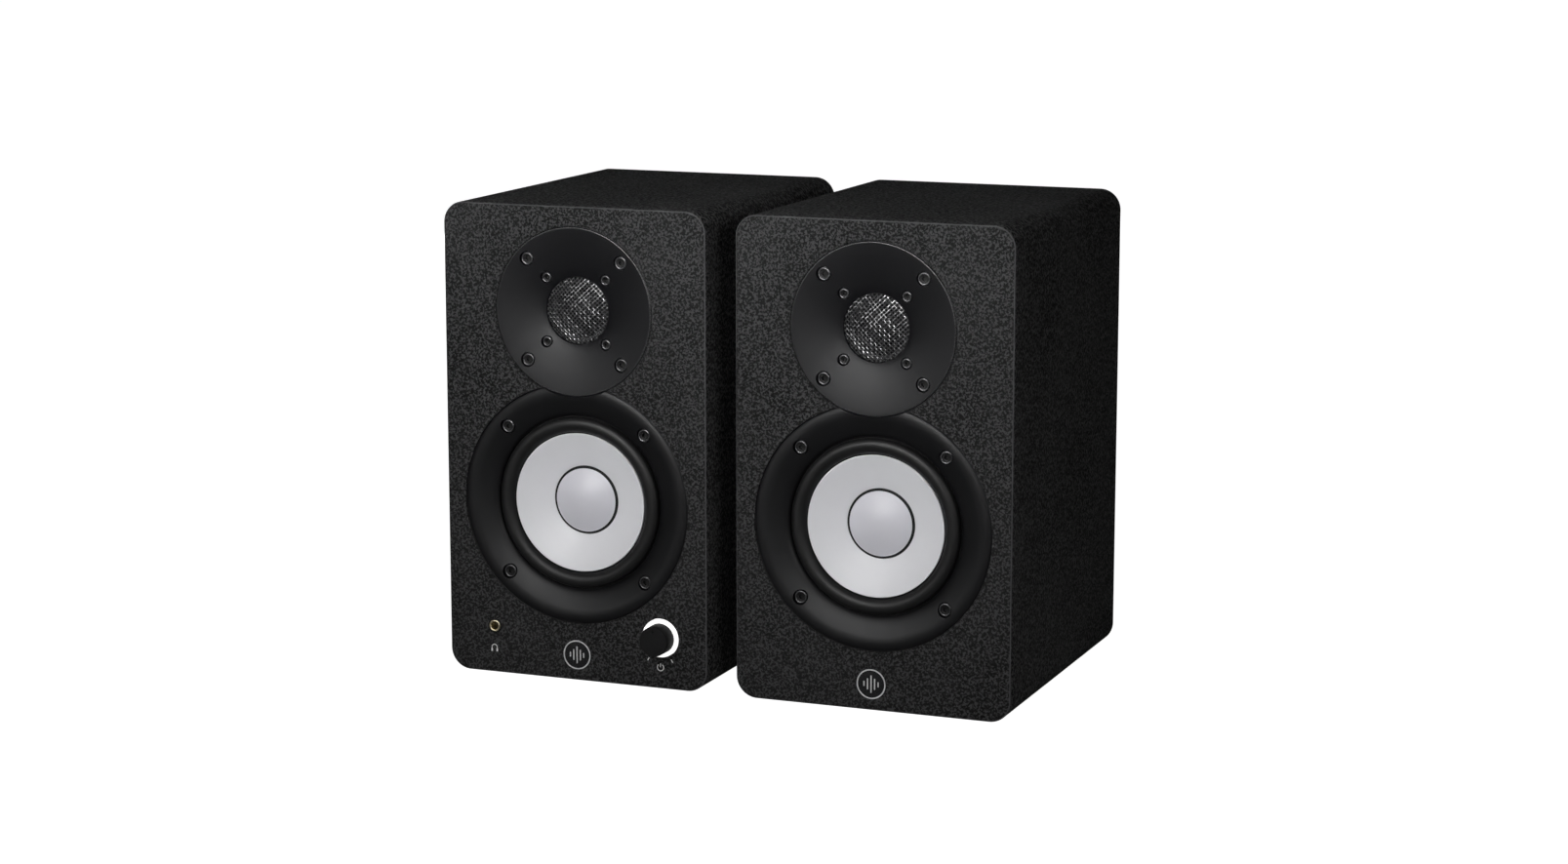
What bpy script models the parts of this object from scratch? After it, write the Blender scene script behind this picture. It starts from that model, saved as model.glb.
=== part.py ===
"""A pair of two-way desktop monitor speakers: a powered left one and a passive right one.

Frame: metres, +Z up. The fronts face -Y and +X runs from the left speaker to the right one.
The origin is at desk level, at the centre of the pair's bounding box. Every dimension below
is in millimetres, in a speaker's own frame: x from its centre line, y back from its front
face, z up from the desk. Each speaker has an empty that carries this frame.
"""

import math

import bmesh
import bpy
from mathutils import Matrix, Vector

MM = 0.001
GAP = 0.3  # clearance between pieces that touch

# Cabinets
WIDTH, HEIGHT, DEPTH = 132.0, 223.0, 165.0
CORNER = 10.0  # radius of the four long edges
EDGE = 0.8  # chamfer round the front and back faces
BAFFLE = 15.0  # thickness of the front board
WALL = 9.0  # thickness of the other boards
SPACING = 146.6  # centre line to centre line
KNOB_REACH = 7.0  # what stands out furthest in front
REAR_REACH = 12.0  # what stands out furthest behind

# Drivers
TWEETER_Z, WOOFER_Z = 174.3, 84.0
FLANGE_R = 39.5
FRAME_R = 56.6
BEZEL = 4.0  # thickness of the tweeter flange and the woofer frame at their rims
SURROUND_R = 41.0
CONE_R = 33.4
COIL_R = 12.2  # inside of the voice coil former
TWEETER_SCREWS, WOOFER_SCREWS = 23.6, 34.6  # half the side of each square of screws
INNER_SCREWS = 14.9

# Controls on the left front
KNOB_X, KNOB_Z = 42.5, 24.0
JACK_X, JACK_Z = -42.5, 22.6
KNOB_R, RING_R = 7.3, 9.2
BADGE_R, BADGE_Z = 7.1, 12.2

# Rear
PORT_Z, PORT_R = 170.0, 15.0
PANEL_W, PANEL_H, PANEL_Z, PANEL_THICK = 104.0, 108.0, 66.0, 2.5
INPUTS_Z, SWITCH_Z, POWER_Z = 94.0, 60.0, 32.0
SWITCH_X = 16.0
INLET_X, LINK_X = 26.0, -26.0
RIGHT_LINK_Z = 60.0
BOARD_Y, BOARD_THICK = 141.0, 1.6
SWITCH_Y = 155.0  # face of the switch housings on the board
SOCKET_Y = BOARD_Y + BOARD_THICK + GAP  # inner end of what is soldered to the board

BLACK_VINYL = ((0.012, 0.012, 0.013), 0.62, 0.0)
BLACK_FRONT = ((0.020, 0.020, 0.021), 0.70, 0.0)
SATIN_BLACK = ((0.012, 0.012, 0.014), 0.38, 0.0)
RUBBER = ((0.010, 0.010, 0.011), 0.55, 0.0)
PALE_CONE = ((0.62, 0.62, 0.64), 0.42, 0.0)
LILAC_CAP = ((0.55, 0.55, 0.60), 0.38, 0.0)
STEEL = ((0.50, 0.50, 0.52), 0.35, 1.0)
BLACK_STEEL = ((0.03, 0.03, 0.032), 0.35, 1.0)
FERRITE = ((0.05, 0.05, 0.055), 0.60, 0.0)
BRASS = ((0.72, 0.55, 0.30), 0.30, 1.0)
LIGHT_PIPE = ((0.95, 0.95, 0.95), 0.30, 0.0)
CLOTH = ((0.55, 0.42, 0.20), 0.85, 0.0)
FILM = ((0.75, 0.62, 0.42), 0.40, 0.0)
BOARD_GREEN = ((0.03, 0.16, 0.07), 0.50, 0.0)
PANEL_GREY = ((0.035, 0.035, 0.038), 0.45, 0.6)
SILVER_MARK = ((0.45, 0.45, 0.46), 0.35, 0.8)
MATERIALS = {}


def clear_scene():
    for obj in list(bpy.data.objects):
        bpy.data.objects.remove(obj, do_unlink=True)


def material(look):
    """The Principled material for a (colour, roughness, metallic) look, made once."""
    if look not in MATERIALS:
        colour, roughness, metallic = look
        made = bpy.data.materials.new("look_%d" % len(MATERIALS))
        made.use_nodes = True
        shader = made.node_tree.nodes["Principled BSDF"]
        shader.inputs["Base Color"].default_value = (*colour, 1.0)
        shader.inputs["Roughness"].default_value = roughness
        shader.inputs["Metallic"].default_value = metallic
        made.diffuse_color = (*colour, 1.0)
        MATERIALS[look] = made
    return MATERIALS[look]


def finish(name, bm, look, parent, at=(0, 0, 0), smooth=False):
    """Turns a bmesh in millimetres into an object at a point of its parent's frame."""
    bmesh.ops.scale(bm, vec=(MM, MM, MM), verts=bm.verts)
    bmesh.ops.remove_doubles(bm, verts=bm.verts, dist=1e-7)
    bmesh.ops.recalc_face_normals(bm, faces=bm.faces)
    mesh = bpy.data.meshes.new(name)
    bm.to_mesh(mesh)
    bm.free()
    if smooth:
        mesh.shade_smooth()
        mesh.set_sharp_from_angle(angle=math.radians(40))
    obj = bpy.data.objects.new(name, mesh)
    bpy.context.scene.collection.objects.link(obj)
    obj.parent = parent
    obj.location = Vector(at) * MM
    if look:
        mesh.materials.append(material(look))
    return obj


def turned(name, profile, look, parent, at=(0, 0, 0), steps=32):
    """A solid of revolution about the y axis. The profile is a list of (radius, y): a closed
    ring where no point has radius 0, or a line from the axis round to the axis again."""
    bm = bmesh.new()
    points = [bm.verts.new((r, y, 0)) for r, y in profile]
    ring = all(r > 0 for r, _ in profile)
    pairs = list(zip(points, points[1:])) + ([(points[-1], points[0])] if ring else [])
    edges = [bm.edges.new(pair) for pair in pairs]
    bmesh.ops.spin(
        bm, geom=points + edges, cent=(0, 0, 0), axis=(0, 1, 0), angle=math.tau, steps=steps
    )
    bmesh.ops.remove_doubles(bm, verts=bm.verts, dist=1e-4)
    return finish(name, bm, look, parent, at, smooth=True)


def rounded_rectangle(width, height, radius, steps=4):
    """The outline's points (x, z) about its own centre."""
    points = []
    for quarter in range(4):
        sx, sz = ((1, 1), (-1, 1), (-1, -1), (1, -1))[quarter]
        for k in range(steps + 1):
            angle = math.radians(90 * (quarter + k / steps))
            points.append(
                (
                    sx * (width / 2 - radius) + radius * math.cos(angle),
                    sz * (height / 2 - radius) + radius * math.sin(angle),
                )
            )
    return points


def lofted(name, sections, look, parent, at=(0, 0, 0)):
    """A closed solid through sections (y, outline), each outline with as many points."""
    bm = bmesh.new()
    loops = [[bm.verts.new((x, y, z)) for x, z in outline] for y, outline in sections]
    for near, far in zip(loops, loops[1:]):
        for k in range(len(near)):
            n = (k + 1) % len(near)
            bm.faces.new((near[k], near[n], far[n], far[k]))
    bm.faces.new(loops[0])
    bm.faces.new(loops[-1])
    return finish(name, bm, look, parent, at)


def slab(name, size, y_range, look, parent, at, radius=1.0, edge=0.0):
    """A rounded-rectangle plate from y_range[0] to y_range[1], centred on (x, z) = at."""
    (width, height), (front, back) = size, y_range
    full = rounded_rectangle(width, height, radius, 2)
    sections = [(front, full), (back, full)]
    if edge:
        less = rounded_rectangle(width - 2 * edge, height - 2 * edge, radius - edge / 2, 2)
        sections = [(front, full), (back - edge, full), (back, less)]
    return lofted(name, sections, look, parent, (at[0], 0, at[1]))


def box(name, low, high, look, parent, at=(0, 0, 0)):
    """A plain box between two corners."""
    bm = bmesh.new()
    bmesh.ops.create_cube(bm, size=1.0)
    size = [h - l for l, h in zip(low, high)]
    middle = [(h + l) / 2 for l, h in zip(low, high)]
    bmesh.ops.scale(bm, vec=size, verts=bm.verts)
    bmesh.ops.translate(bm, vec=middle, verts=bm.verts)
    return finish(name, bm, look, parent, at)


def combine(obj, other, operation):
    """obj cut by, or joined to, a hidden helper."""
    other.hide_render = True
    other.display_type = "WIRE"
    change = obj.modifiers.new(other.name, "BOOLEAN")
    change.operation = operation
    change.solver = "EXACT"
    change.object = other


def cut(obj, other):
    combine(obj, other, "DIFFERENCE")


def join(obj, other):
    combine(obj, other, "UNION")


def bored(radii):
    """Profile of a stepped cutter: radii is a list of (radius, from y, to y), front to back."""
    profile = [(0, radii[0][1])]
    for radius, front, back in radii:
        profile += [(radius, front), (radius, back)]
    return profile + [(0, radii[-1][2])]


def square(half, z):
    """The four corners (x, z) of a square of screws about height z."""
    return [(sx * half, z + sz * half) for sz in (1, -1) for sx in (-1, 1)]


# Shared outlines of the drivers' pieces, as (radius, y) with y = 0 at the cabinet's front face


def frame_profile():
    """Moulded woofer frame: dished rim, basket wall, spider ledge and rear seat."""
    back = 31.5
    return [
        (FRAME_R, 0.0), (51.5, 0.4), (46.0, 2.3), (SURROUND_R + 0.8, 6.4), (38.6, 6.4),
        (38.6, 9.5), (30.6, 22.0), (30.6, 24.2), (27.5, 24.2), (27.5, 29.5), (19.0, 29.5),
        (19.0, back), (32.0, back), (33.0, 24.0), (43.0, 8.0), (43.0, BEZEL),
        (FRAME_R, BEZEL),
    ]


def magnet_profile():
    """Front plate, ferrite ring, back plate and pole piece, with the coil's gap between."""
    pole, front, back = COIL_R - 0.6, 31.8, 55.0
    return [
        (0, 27.0), (pole, 27.0), (pole, 50.0), (18.0, 50.0), (18.0, 36.0),
        (COIL_R + 1.7, 36.0), (COIL_R + 1.7, front), (29.0, front), (29.0, 36.0),
        (35.0, 36.0), (35.0, 50.0), (33.0, 50.0), (33.0, back), (0, back),
    ]


def surround_profile(steps=4):
    """Half-roll rubber surround: a crest between two glued lips, 0.8 thick."""
    middle, half, rise = (CONE_R + SURROUND_R) / 2, 3.0, 3.2
    front = [(SURROUND_R + 0.3, 5.3)]
    back = [(SURROUND_R + 0.3, 6.1)]
    for k in range(steps + 1):
        angle = math.pi * k / steps
        drop = 0.7 * k / steps
        front.append((middle + half * math.cos(angle), 5.3 - rise * math.sin(angle) + drop))
        back.append(
            (middle + (half - 0.8) * math.cos(angle), 6.1 - rise * math.sin(angle) + drop)
        )
    return front + [(CONE_R - 0.9, 6.1), (CONE_R - 0.9, 6.9)] + back[:0:-1] + [back[0]]


def cone_profile():
    front = [(CONE_R, 4.5), (24.5, 8.9), (15.9, 12.6), (COIL_R + 1.1, 13.9)]
    return front + [(r, y + 0.8) for r, y in reversed(front)]


def cap_profile(radius=15.2, base=12.2, rise=4.2, thick=0.6, steps=4):
    """A shallow dome, open behind."""
    outer = [(radius * math.sin(math.pi / 2 * k / steps), 0) for k in range(steps + 1)]
    outer = [(r, base - rise * (1 - (r / radius) ** 2)) for r, _ in outer]
    inner = [(r * (radius - thick) / radius, y + thick) for r, y in outer[:-1]]
    inner.append((radius - thick, base))
    return outer + inner[::-1]


def spider_profile():
    """Corrugated cloth ring that centres the voice coil."""
    inner, outer, waves, high = COIL_R + 1.0, 30.3, 5, 1.3
    top = [
        (inner + (outer - inner) * k / waves, 22.0 + (high if k % 2 == 0 else 0.0))
        for k in range(waves + 1)
    ]
    top[-1] = (outer, 23.2)
    return top + [(r, y + 0.6) for r, y in reversed(top)]


def former_profile():
    """Paper-thin former with the winding at its rear end."""
    r = COIL_R
    return [
        (r, 13.0), (r + 0.7, 13.0), (r + 0.7, 30.8), (r + 1.1, 30.8), (r + 1.1, 37.5),
        (r, 37.5),
    ]


def flange_profile():
    """Tweeter flange: thin raised rim, shallow dish, throat and rear boss."""
    return [
        (FLANGE_R, -0.3), (FLANGE_R - 0.7, -0.3), (38.0, 0.15), (28.0, 1.35), (20.0, 3.1),
        (16.3, 5.0), (16.3, 9.5), (28.6, 9.5), (28.6, BEZEL), (FLANGE_R, BEZEL),
    ]


def dome_profile():
    """Silk dome with its own small surround."""
    dome = cap_profile(9.4, 10.4, 3.0, 0.4, 3)
    outer, inner = dome[:4], dome[4:]
    return outer + [(10.6, 9.9), (12.8, 10.4), (12.8, 10.8), (10.6, 10.7)] + inner


def tweeter_magnet_profile():
    return [
        (0, 12.2), (13.3, 12.2), (13.3, 9.8), (28.5, 9.8), (28.5, 13.0), (25.0, 13.0),
        (25.0, 28.0), (0, 28.0),
    ]


def screw_profile(head, seat, length):
    """Socket-head screw: head of the given radius, its underside at y = seat."""
    return [
        (0, seat - 0.5), (1.3, seat - 0.5), (1.3, seat - 1.7), (head, seat - 1.7),
        (head, seat), (1.4, seat), (1.4, seat + length), (0, seat + length),
    ]


# Pieces that both speakers have


def add_cabinet(side, speaker):
    outer = rounded_rectangle(WIDTH, HEIGHT, CORNER)
    less = rounded_rectangle(WIDTH - 2 * EDGE, HEIGHT - 2 * EDGE, CORNER - EDGE)
    middle = (0, 0, HEIGHT / 2)
    shell = lofted(
        side + "_cabinet_shell",
        [(BAFFLE + GAP, outer), (DEPTH - EDGE, outer), (DEPTH, less)],
        BLACK_VINYL, speaker, middle,
    )
    inside = rounded_rectangle(WIDTH - 2 * WALL, HEIGHT - 2 * WALL, 2.0)
    hollow = lofted(
        side + "_cut_hollow", [(BAFFLE - 5, inside), (DEPTH - WALL, inside)],
        None, speaker, middle,
    )
    cut(shell, hollow)
    port_hole = turned(
        side + "_cut_port", bored([(PORT_R + 2.3, DEPTH - 20, DEPTH + 5)]),
        None, speaker, (0, 0, PORT_Z),
    )
    cut(shell, port_hole)
    baffle = lofted(
        side + "_front_baffle", [(0, less), (EDGE, outer), (BAFFLE, outer)],
        BLACK_FRONT, speaker, middle,
    )
    return shell, baffle


def bore_baffle(side, speaker, baffle):
    """Rebates, driver openings and screw holes."""
    woofer = bored([(FRAME_R + GAP, -2, BEZEL + GAP), (43.0 + GAP, BEZEL + GAP, 20)])
    tweeter = bored([(FLANGE_R + GAP, -2, BEZEL + GAP), (28.6 + GAP, BEZEL + GAP, 20)])
    cut(baffle, turned(side + "_cut_woofer", woofer, None, speaker, (0, 0, WOOFER_Z), 28))
    cut(baffle, turned(side + "_cut_tweeter", tweeter, None, speaker, (0, 0, TWEETER_Z), 28))
    badge = bored([(BADGE_R + GAP, -2, 1.2)])
    cut(baffle, turned(side + "_cut_badge", badge, None, speaker, (0, 0, BADGE_Z), 20))
    holes = square(WOOFER_SCREWS, WOOFER_Z) + square(TWEETER_SCREWS, TWEETER_Z)
    for k, (x, z) in enumerate(holes):
        hole = bored([(1.4 + GAP, 0, 18)])
        cut(baffle, turned("%s_cut_screw_%d" % (side, k), hole, None, speaker, (x, 0, z), 6))


def add_woofer(side, speaker):
    at = (0, 0, WOOFER_Z)
    frame = turned(side + "_woofer_frame", frame_profile(), SATIN_BLACK, speaker, at, 28)
    notch = bored([(FLANGE_R + GAP, -2, BEZEL + 1)])
    notch = turned(side + "_cut_notch", notch, None, speaker, (0, 0, TWEETER_Z), 28)
    notch.rotation_euler = (0, math.radians(180 / 28), 0)
    cut(frame, notch)
    for k, turn in enumerate((45, 135)):
        window = box(
            "%s_cut_window_%d" % (side, k), (-60, 13.1, -13.3), (60, 21.4, 13.3), None, speaker, at
        )
        window.rotation_euler = (0, math.radians(turn), 0)
        cut(frame, window)
    add_screws(side + "_woofer", speaker, frame, WOOFER_SCREWS, WOOFER_Z, 2.9, 2.8)
    turned(side + "_woofer_magnet", magnet_profile(), FERRITE, speaker, at, 16)
    turned(side + "_woofer_surround", surround_profile(), RUBBER, speaker, at, 24)
    turned(side + "_woofer_cone", cone_profile(), PALE_CONE, speaker, at, 24)
    turned(side + "_woofer_dust_cap", cap_profile(), LILAC_CAP, speaker, at, 20)
    turned(side + "_woofer_voice_coil", former_profile(), FILM, speaker, at, 16)
    turned(side + "_woofer_spider", spider_profile(), CLOTH, speaker, at, 20)


def add_tweeter(side, speaker):
    at = (0, 0, TWEETER_Z)
    flange = turned(side + "_tweeter_flange", flange_profile(), SATIN_BLACK, speaker, at, 28)
    add_screws(side + "_tweeter", speaker, flange, TWEETER_SCREWS, TWEETER_Z, 2.8, 2.5)
    for k, (x, z) in enumerate(square(INNER_SCREWS, TWEETER_Z)):
        sink = bored([(2.8, -2, 4.6)])
        cut(flange, turned("%s_cut_inner_%d" % (side, k), sink, None, speaker, (x, 0, z), 8))
    grille = cap_profile(15.6, 6.4, 4.6, 0.5, 4)
    turned(side + "_tweeter_grille", grille, BLACK_STEEL, speaker, at, 20)
    turned(side + "_tweeter_dome", dome_profile(), RUBBER, speaker, at, 16)
    turned(side + "_tweeter_magnet", tweeter_magnet_profile(), FERRITE, speaker, at, 16)


def add_screws(name, speaker, holder, half, z, head, seat):
    """Four socket-head screws in counterbores of the piece that they hold."""
    for k, (x, height) in enumerate(square(half, z)):
        at = (x, 0, height)
        sink = bored([(head + 0.4, -2, seat + GAP), (1.4 + GAP, seat + GAP, 6)])
        cut(holder, turned("%s_cut_sink_%d" % (name, k), sink, None, speaker, at, 8))
        profile = screw_profile(head, seat, 10.5)
        turned("%s_screw_%d" % (name, k + 1), profile, BLACK_STEEL, speaker, at, 6)


def add_port(side, speaker):
    """Bass port: a tube with a flared mouth that sits on the cabinet's back."""
    front, r, back = DEPTH - 62.0, PORT_R, DEPTH + 2.5
    profile = [
        (r, front), (r, DEPTH - 5), (r + 0.8, DEPTH - 1), (r + 4.0, DEPTH + 1.4),
        (r + 8.0, back), (r + 11.0, back), (r + 11.0, DEPTH + GAP), (r + 2.0, DEPTH + GAP),
        (r + 2.0, front),
    ]
    turned(side + "_port_tube", profile, SATIN_BLACK, speaker, (0, 0, PORT_Z), 20)


def add_badge(side, speaker):
    profile = bored([(BADGE_R, -0.2, 0.9)])
    turned(side + "_badge", profile, SILVER_MARK, speaker, (0, 0, BADGE_Z), 20)


def add_link_socket(side, speaker, x, z, base):
    """Two-pole socket for the cable between the speakers, on a surface at y = base."""
    front, back = SOCKET_Y, DEPTH + REAR_REACH
    socket = slab(side + "_link_socket", (24, 14), (front, back), SATIN_BLACK, speaker, (x, z))
    flange = slab(
        side + "_join_link", (31, 21), (base + GAP, base + 2.3), None, speaker, (x, z), 2.0
    )
    join(socket, flange)
    pocket = slab(
        side + "_cut_link", (20, 10), (back - 12, back + 5), None, speaker, (x, z), 0.8
    )
    cut(socket, pocket)


def add_shared(side, speaker):
    shell, baffle = add_cabinet(side, speaker)
    bore_baffle(side, speaker, baffle)
    add_woofer(side, speaker)
    add_tweeter(side, speaker)
    add_port(side, speaker)
    add_badge(side, speaker)
    return shell, baffle


# Pieces that only one speaker has


def add_front_controls(speaker, baffle):
    ring_hole = bored([(RING_R + GAP, -2, 20)])
    knob_at, jack_at = (KNOB_X, 0, KNOB_Z), (JACK_X, 0, JACK_Z)
    cut(baffle, turned("left_cut_ring", ring_hole, None, speaker, knob_at, 24))
    cut(baffle, turned("left_cut_jack", bored([(3.2, -2, 20)]), None, speaker, jack_at, 12))

    stem = 3.0
    knob = turned(
        "left_volume_knob",
        [
            (0, -KNOB_REACH), (6.4, -KNOB_REACH), (6.95, 0.5 - KNOB_REACH), (KNOB_R, -0.6),
            (KNOB_R, 1.5), (stem, 1.5), (stem, 20.0), (0, 20.0),
        ],
        SATIN_BLACK, speaker, knob_at, 24,
    )
    mark = box(
        "left_cut_mark", (-0.4, -KNOB_REACH - 1, 3.6), (0.4, 0.5 - KNOB_REACH, 5.6),
        None, speaker, knob_at,
    )
    cut(knob, mark)
    ring = [(KNOB_R + GAP, -0.4), (RING_R, -0.4), (RING_R, 8.0), (KNOB_R + GAP, 8.0)]
    turned("left_light_ring", ring, LIGHT_PIPE, speaker, knob_at, 24)
    pot = [
        (0, 20.6), (stem + GAP, 20.6), (stem + GAP, BAFFLE + GAP), (8.0, BAFFLE + GAP),
        (8.0, 25.0), (0, 25.0),
    ]
    turned("left_volume_pot", pot, STEEL, speaker, knob_at, 12)
    jack = [
        (0, 19.0), (1.85, 19.0), (1.85, -0.9), (3.4, -0.9), (3.4, -GAP), (2.9, -GAP),
        (2.9, BAFFLE + GAP), (6.0, BAFFLE + GAP), (6.0, 27.0), (0, 27.0),
    ]
    turned("left_headphone_jack", jack, BRASS, speaker, jack_at, 12)


def add_rear_electronics(speaker, shell):
    """Rear panel with the mains inlet, inputs, switches and the link to the right speaker."""
    base = DEPTH + GAP + PANEL_THICK
    opening = slab(
        "left_cut_opening", (PANEL_W - 16, PANEL_H - 16), (DEPTH - 20, DEPTH + 5),
        None, speaker, (0, PANEL_Z), 3.0,
    )
    cut(shell, opening)
    panel = slab(
        "left_rear_panel", (PANEL_W, PANEL_H), (DEPTH + GAP, base), PANEL_GREY, speaker,
        (0, PANEL_Z), 5.0, 0.6,
    )

    inlet_at, link_at, inputs_at = (INLET_X, POWER_Z), (LINK_X, POWER_Z), (0, INPUTS_Z)
    holes = {
        "inlet": (inlet_at, (26, 18)), "link": (link_at, (24, 14)),
        "inputs": (inputs_at, (76, 26)),
    }
    for name, ((x, z), (w, h)) in holes.items():
        size = (w + 2 * GAP, h + 2 * GAP)
        cut(panel, slab("left_cut_%s" % name, size, (150, 180), None, speaker, (x, z), 1.3))
    for x in (-SWITCH_X, SWITCH_X):
        name = "left_cut_slot_%s" % ("room" if x < 0 else "treble")
        cut(panel, slab(name, (8.4, 4.4), (150, 180), None, speaker, (x, SWITCH_Z), 0.4))

    inlet = slab(
        "left_mains_inlet", (26, 18), (SOCKET_Y, base + 3.0), SATIN_BLACK, speaker, inlet_at
    )
    rim = slab(
        "left_join_inlet", (34, 25), (base + GAP, base + 3.0), None, speaker, inlet_at, 2.5
    )
    join(inlet, rim)
    pocket = slab(
        "left_cut_pocket", (18, 10), (base - 11, base + 9), None, speaker, inlet_at, 4.0
    )
    cut(inlet, pocket)
    add_link_socket("left", speaker, LINK_X, POWER_Z, base)
    add_inputs(speaker, base)

    for x, name in ((-SWITCH_X, "left_room_switch"), (SWITCH_X, "left_treble_switch")):
        low, high = (-1.6, SWITCH_Y + GAP, -1.8), (1.6, base + 3.5, 1.8)
        box(name, low, high, SATIN_BLACK, speaker, (x, 0, SWITCH_Z))

    board = box(
        "left_amplifier_board", (-44, BOARD_Y, -42), (44, BOARD_Y + BOARD_THICK, 42), BOARD_GREEN,
        speaker, (0, 0, PANEL_Z),
    )
    heat_sink = box(
        "left_join_sink", (-40, BOARD_Y - 16, -4), (-12, BOARD_Y + 0.5, 30), None, speaker,
        (0, 0, PANEL_Z),
    )
    join(board, heat_sink)
    for k, x in enumerate((8, 28)):
        can = turned(
            "left_join_can_%d" % k, bored([(8.0, BOARD_Y - 24, BOARD_Y + 0.5)]), None, speaker,
            (x, 0, PANEL_Z + 12), 16,
        )
        join(board, can)
    for k, x in enumerate((-SWITCH_X, SWITCH_X)):
        housing = box(
            "left_join_switch_%d" % k, (-6, BOARD_Y + 1, -4), (6, SWITCH_Y, 4), None, speaker,
            (x, 0, SWITCH_Z),
        )
        join(board, housing)
    core = box(
        "left_transformer", (-24, 78, 0), (24, 102, 40), STEEL, speaker, (0, 0, WALL + GAP)
    )
    coil = box("left_join_coil", (-14, 70, 7), (14, 110, 33), None, speaker, (0, 0, WALL + GAP))
    join(core, coil)


def add_inputs(speaker, base):
    """One moulding with two combination jacks and a stacked pair of phono jacks."""
    at = (0, INPUTS_Z)
    front = base + 2.4
    inputs = slab(
        "left_input_sockets", (76, 26), (SOCKET_Y, front), SATIN_BLACK, speaker, at
    )
    plate = slab("left_join_inputs", (84, 33), (base + GAP, front), None, speaker, at, 3.0)
    join(inputs, plate)
    for k, x in enumerate((-27, 27)):
        profile = bored([(3.3, front - 20, front - 2.5), (9.5, front - 2.5, front + 5)])
        cut(inputs, turned("left_cut_combo_%d" % k, profile, None, speaker, (x, 0, INPUTS_Z), 16))
    for k, z in enumerate((-8, 8)):
        centre = (0, 0, INPUTS_Z + z)
        barrel = bored([(4.15, front - 4, DEPTH + REAR_REACH)])
        join(inputs, turned("left_join_barrel_%d" % k, barrel, None, speaker, centre, 12))
        bore = bored([(1.7, front - 4, DEPTH + REAR_REACH + 2)])
        cut(inputs, turned("left_cut_phono_%d" % k, bore, None, speaker, centre, 8))


def add_passive_back(speaker, shell):
    """The passive speaker's link socket in the cabinet's back, and its crossover."""
    hole = slab(
        "right_cut_socket", (24 + 2 * GAP, 14 + 2 * GAP), (DEPTH - 20, DEPTH + 5), None,
        speaker, (0, RIGHT_LINK_Z), 1.3,
    )
    cut(shell, hole)
    add_link_socket("right", speaker, 0, RIGHT_LINK_Z, DEPTH)
    floor = (0, 0, WALL + GAP)
    board = box(
        "right_crossover_board", (-38, 90, 4), (38, 138, 5.6), BOARD_GREEN, speaker, floor
    )
    for k, (x, y) in enumerate(((-20, 114), (14, 114))):
        bm = bmesh.new()
        bmesh.ops.create_cone(
            bm, cap_ends=True, segments=16, radius1=11 - 3 * k, radius2=11 - 3 * k, depth=16,
            matrix=Matrix.Translation((x, y, 13)),
        )
        join(board, finish("right_join_part_%d" % k, bm, None, speaker, floor))
    for k, x in enumerate((-34, 34)):
        foot = box(
            "right_join_foot_%d" % k, (x - 3, 92, 0), (x + 3, 136, 5), None, speaker, floor
        )
        join(board, foot)


def speaker_frame(side, x):
    """The empty at a speaker's front bottom centre."""
    empty = bpy.data.objects.new(side + "_speaker", None)
    bpy.context.scene.collection.objects.link(empty)
    middle = (DEPTH + REAR_REACH - KNOB_REACH) / 2
    empty.location = Vector((x, -middle, 0)) * MM
    return empty


def main():
    clear_scene()
    left = speaker_frame("left", -SPACING / 2)
    right = speaker_frame("right", SPACING / 2)
    shell, baffle = add_shared("left", left)
    add_front_controls(left, baffle)
    add_rear_electronics(left, shell)
    shell, baffle = add_shared("right", right)
    add_passive_back(right, shell)


main()
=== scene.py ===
"""Looks of the pair of desktop monitor speakers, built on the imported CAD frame."""

import math

import bmesh
import bpy
import numpy as np
from mathutils import Matrix, Vector


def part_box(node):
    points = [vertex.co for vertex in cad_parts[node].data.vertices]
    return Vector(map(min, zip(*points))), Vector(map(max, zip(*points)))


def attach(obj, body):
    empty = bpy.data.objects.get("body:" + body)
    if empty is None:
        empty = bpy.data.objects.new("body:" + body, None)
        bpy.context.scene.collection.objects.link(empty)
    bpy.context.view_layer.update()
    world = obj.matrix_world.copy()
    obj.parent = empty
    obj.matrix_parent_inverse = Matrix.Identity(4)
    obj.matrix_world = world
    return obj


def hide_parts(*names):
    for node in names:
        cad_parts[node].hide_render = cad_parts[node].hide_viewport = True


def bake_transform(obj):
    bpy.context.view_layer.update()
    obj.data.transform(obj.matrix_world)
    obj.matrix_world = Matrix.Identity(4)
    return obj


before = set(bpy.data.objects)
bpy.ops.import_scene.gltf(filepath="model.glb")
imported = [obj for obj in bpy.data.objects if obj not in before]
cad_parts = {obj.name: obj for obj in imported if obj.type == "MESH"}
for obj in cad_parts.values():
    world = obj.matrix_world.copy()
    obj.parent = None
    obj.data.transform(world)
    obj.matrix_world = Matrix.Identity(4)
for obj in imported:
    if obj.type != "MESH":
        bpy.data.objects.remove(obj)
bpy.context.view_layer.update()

MM = 0.001
SIDES = ("left", "right")

# ---------------------------------------------------------------- where things are, from the CAD


def front_of(side):
    """Front bottom centre of a speaker, the origin of its own frame."""
    lo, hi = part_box(side + "_front_baffle")
    return Vector(((lo.x + hi.x) / 2, lo.y, lo.z))


def axis_point(node):
    """Where a piece's axis meets the plane of its speaker's front."""
    lo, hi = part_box(node)
    return Vector(((lo.x + hi.x) / 2, front_of(node.split("_")[0]).y, (lo.z + hi.z) / 2))


def back_of(node):
    """How far behind the plane of the fronts a piece ends, in millimetres."""
    return (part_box(node)[1].y - front_of(node.split("_")[0]).y) / MM


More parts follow.
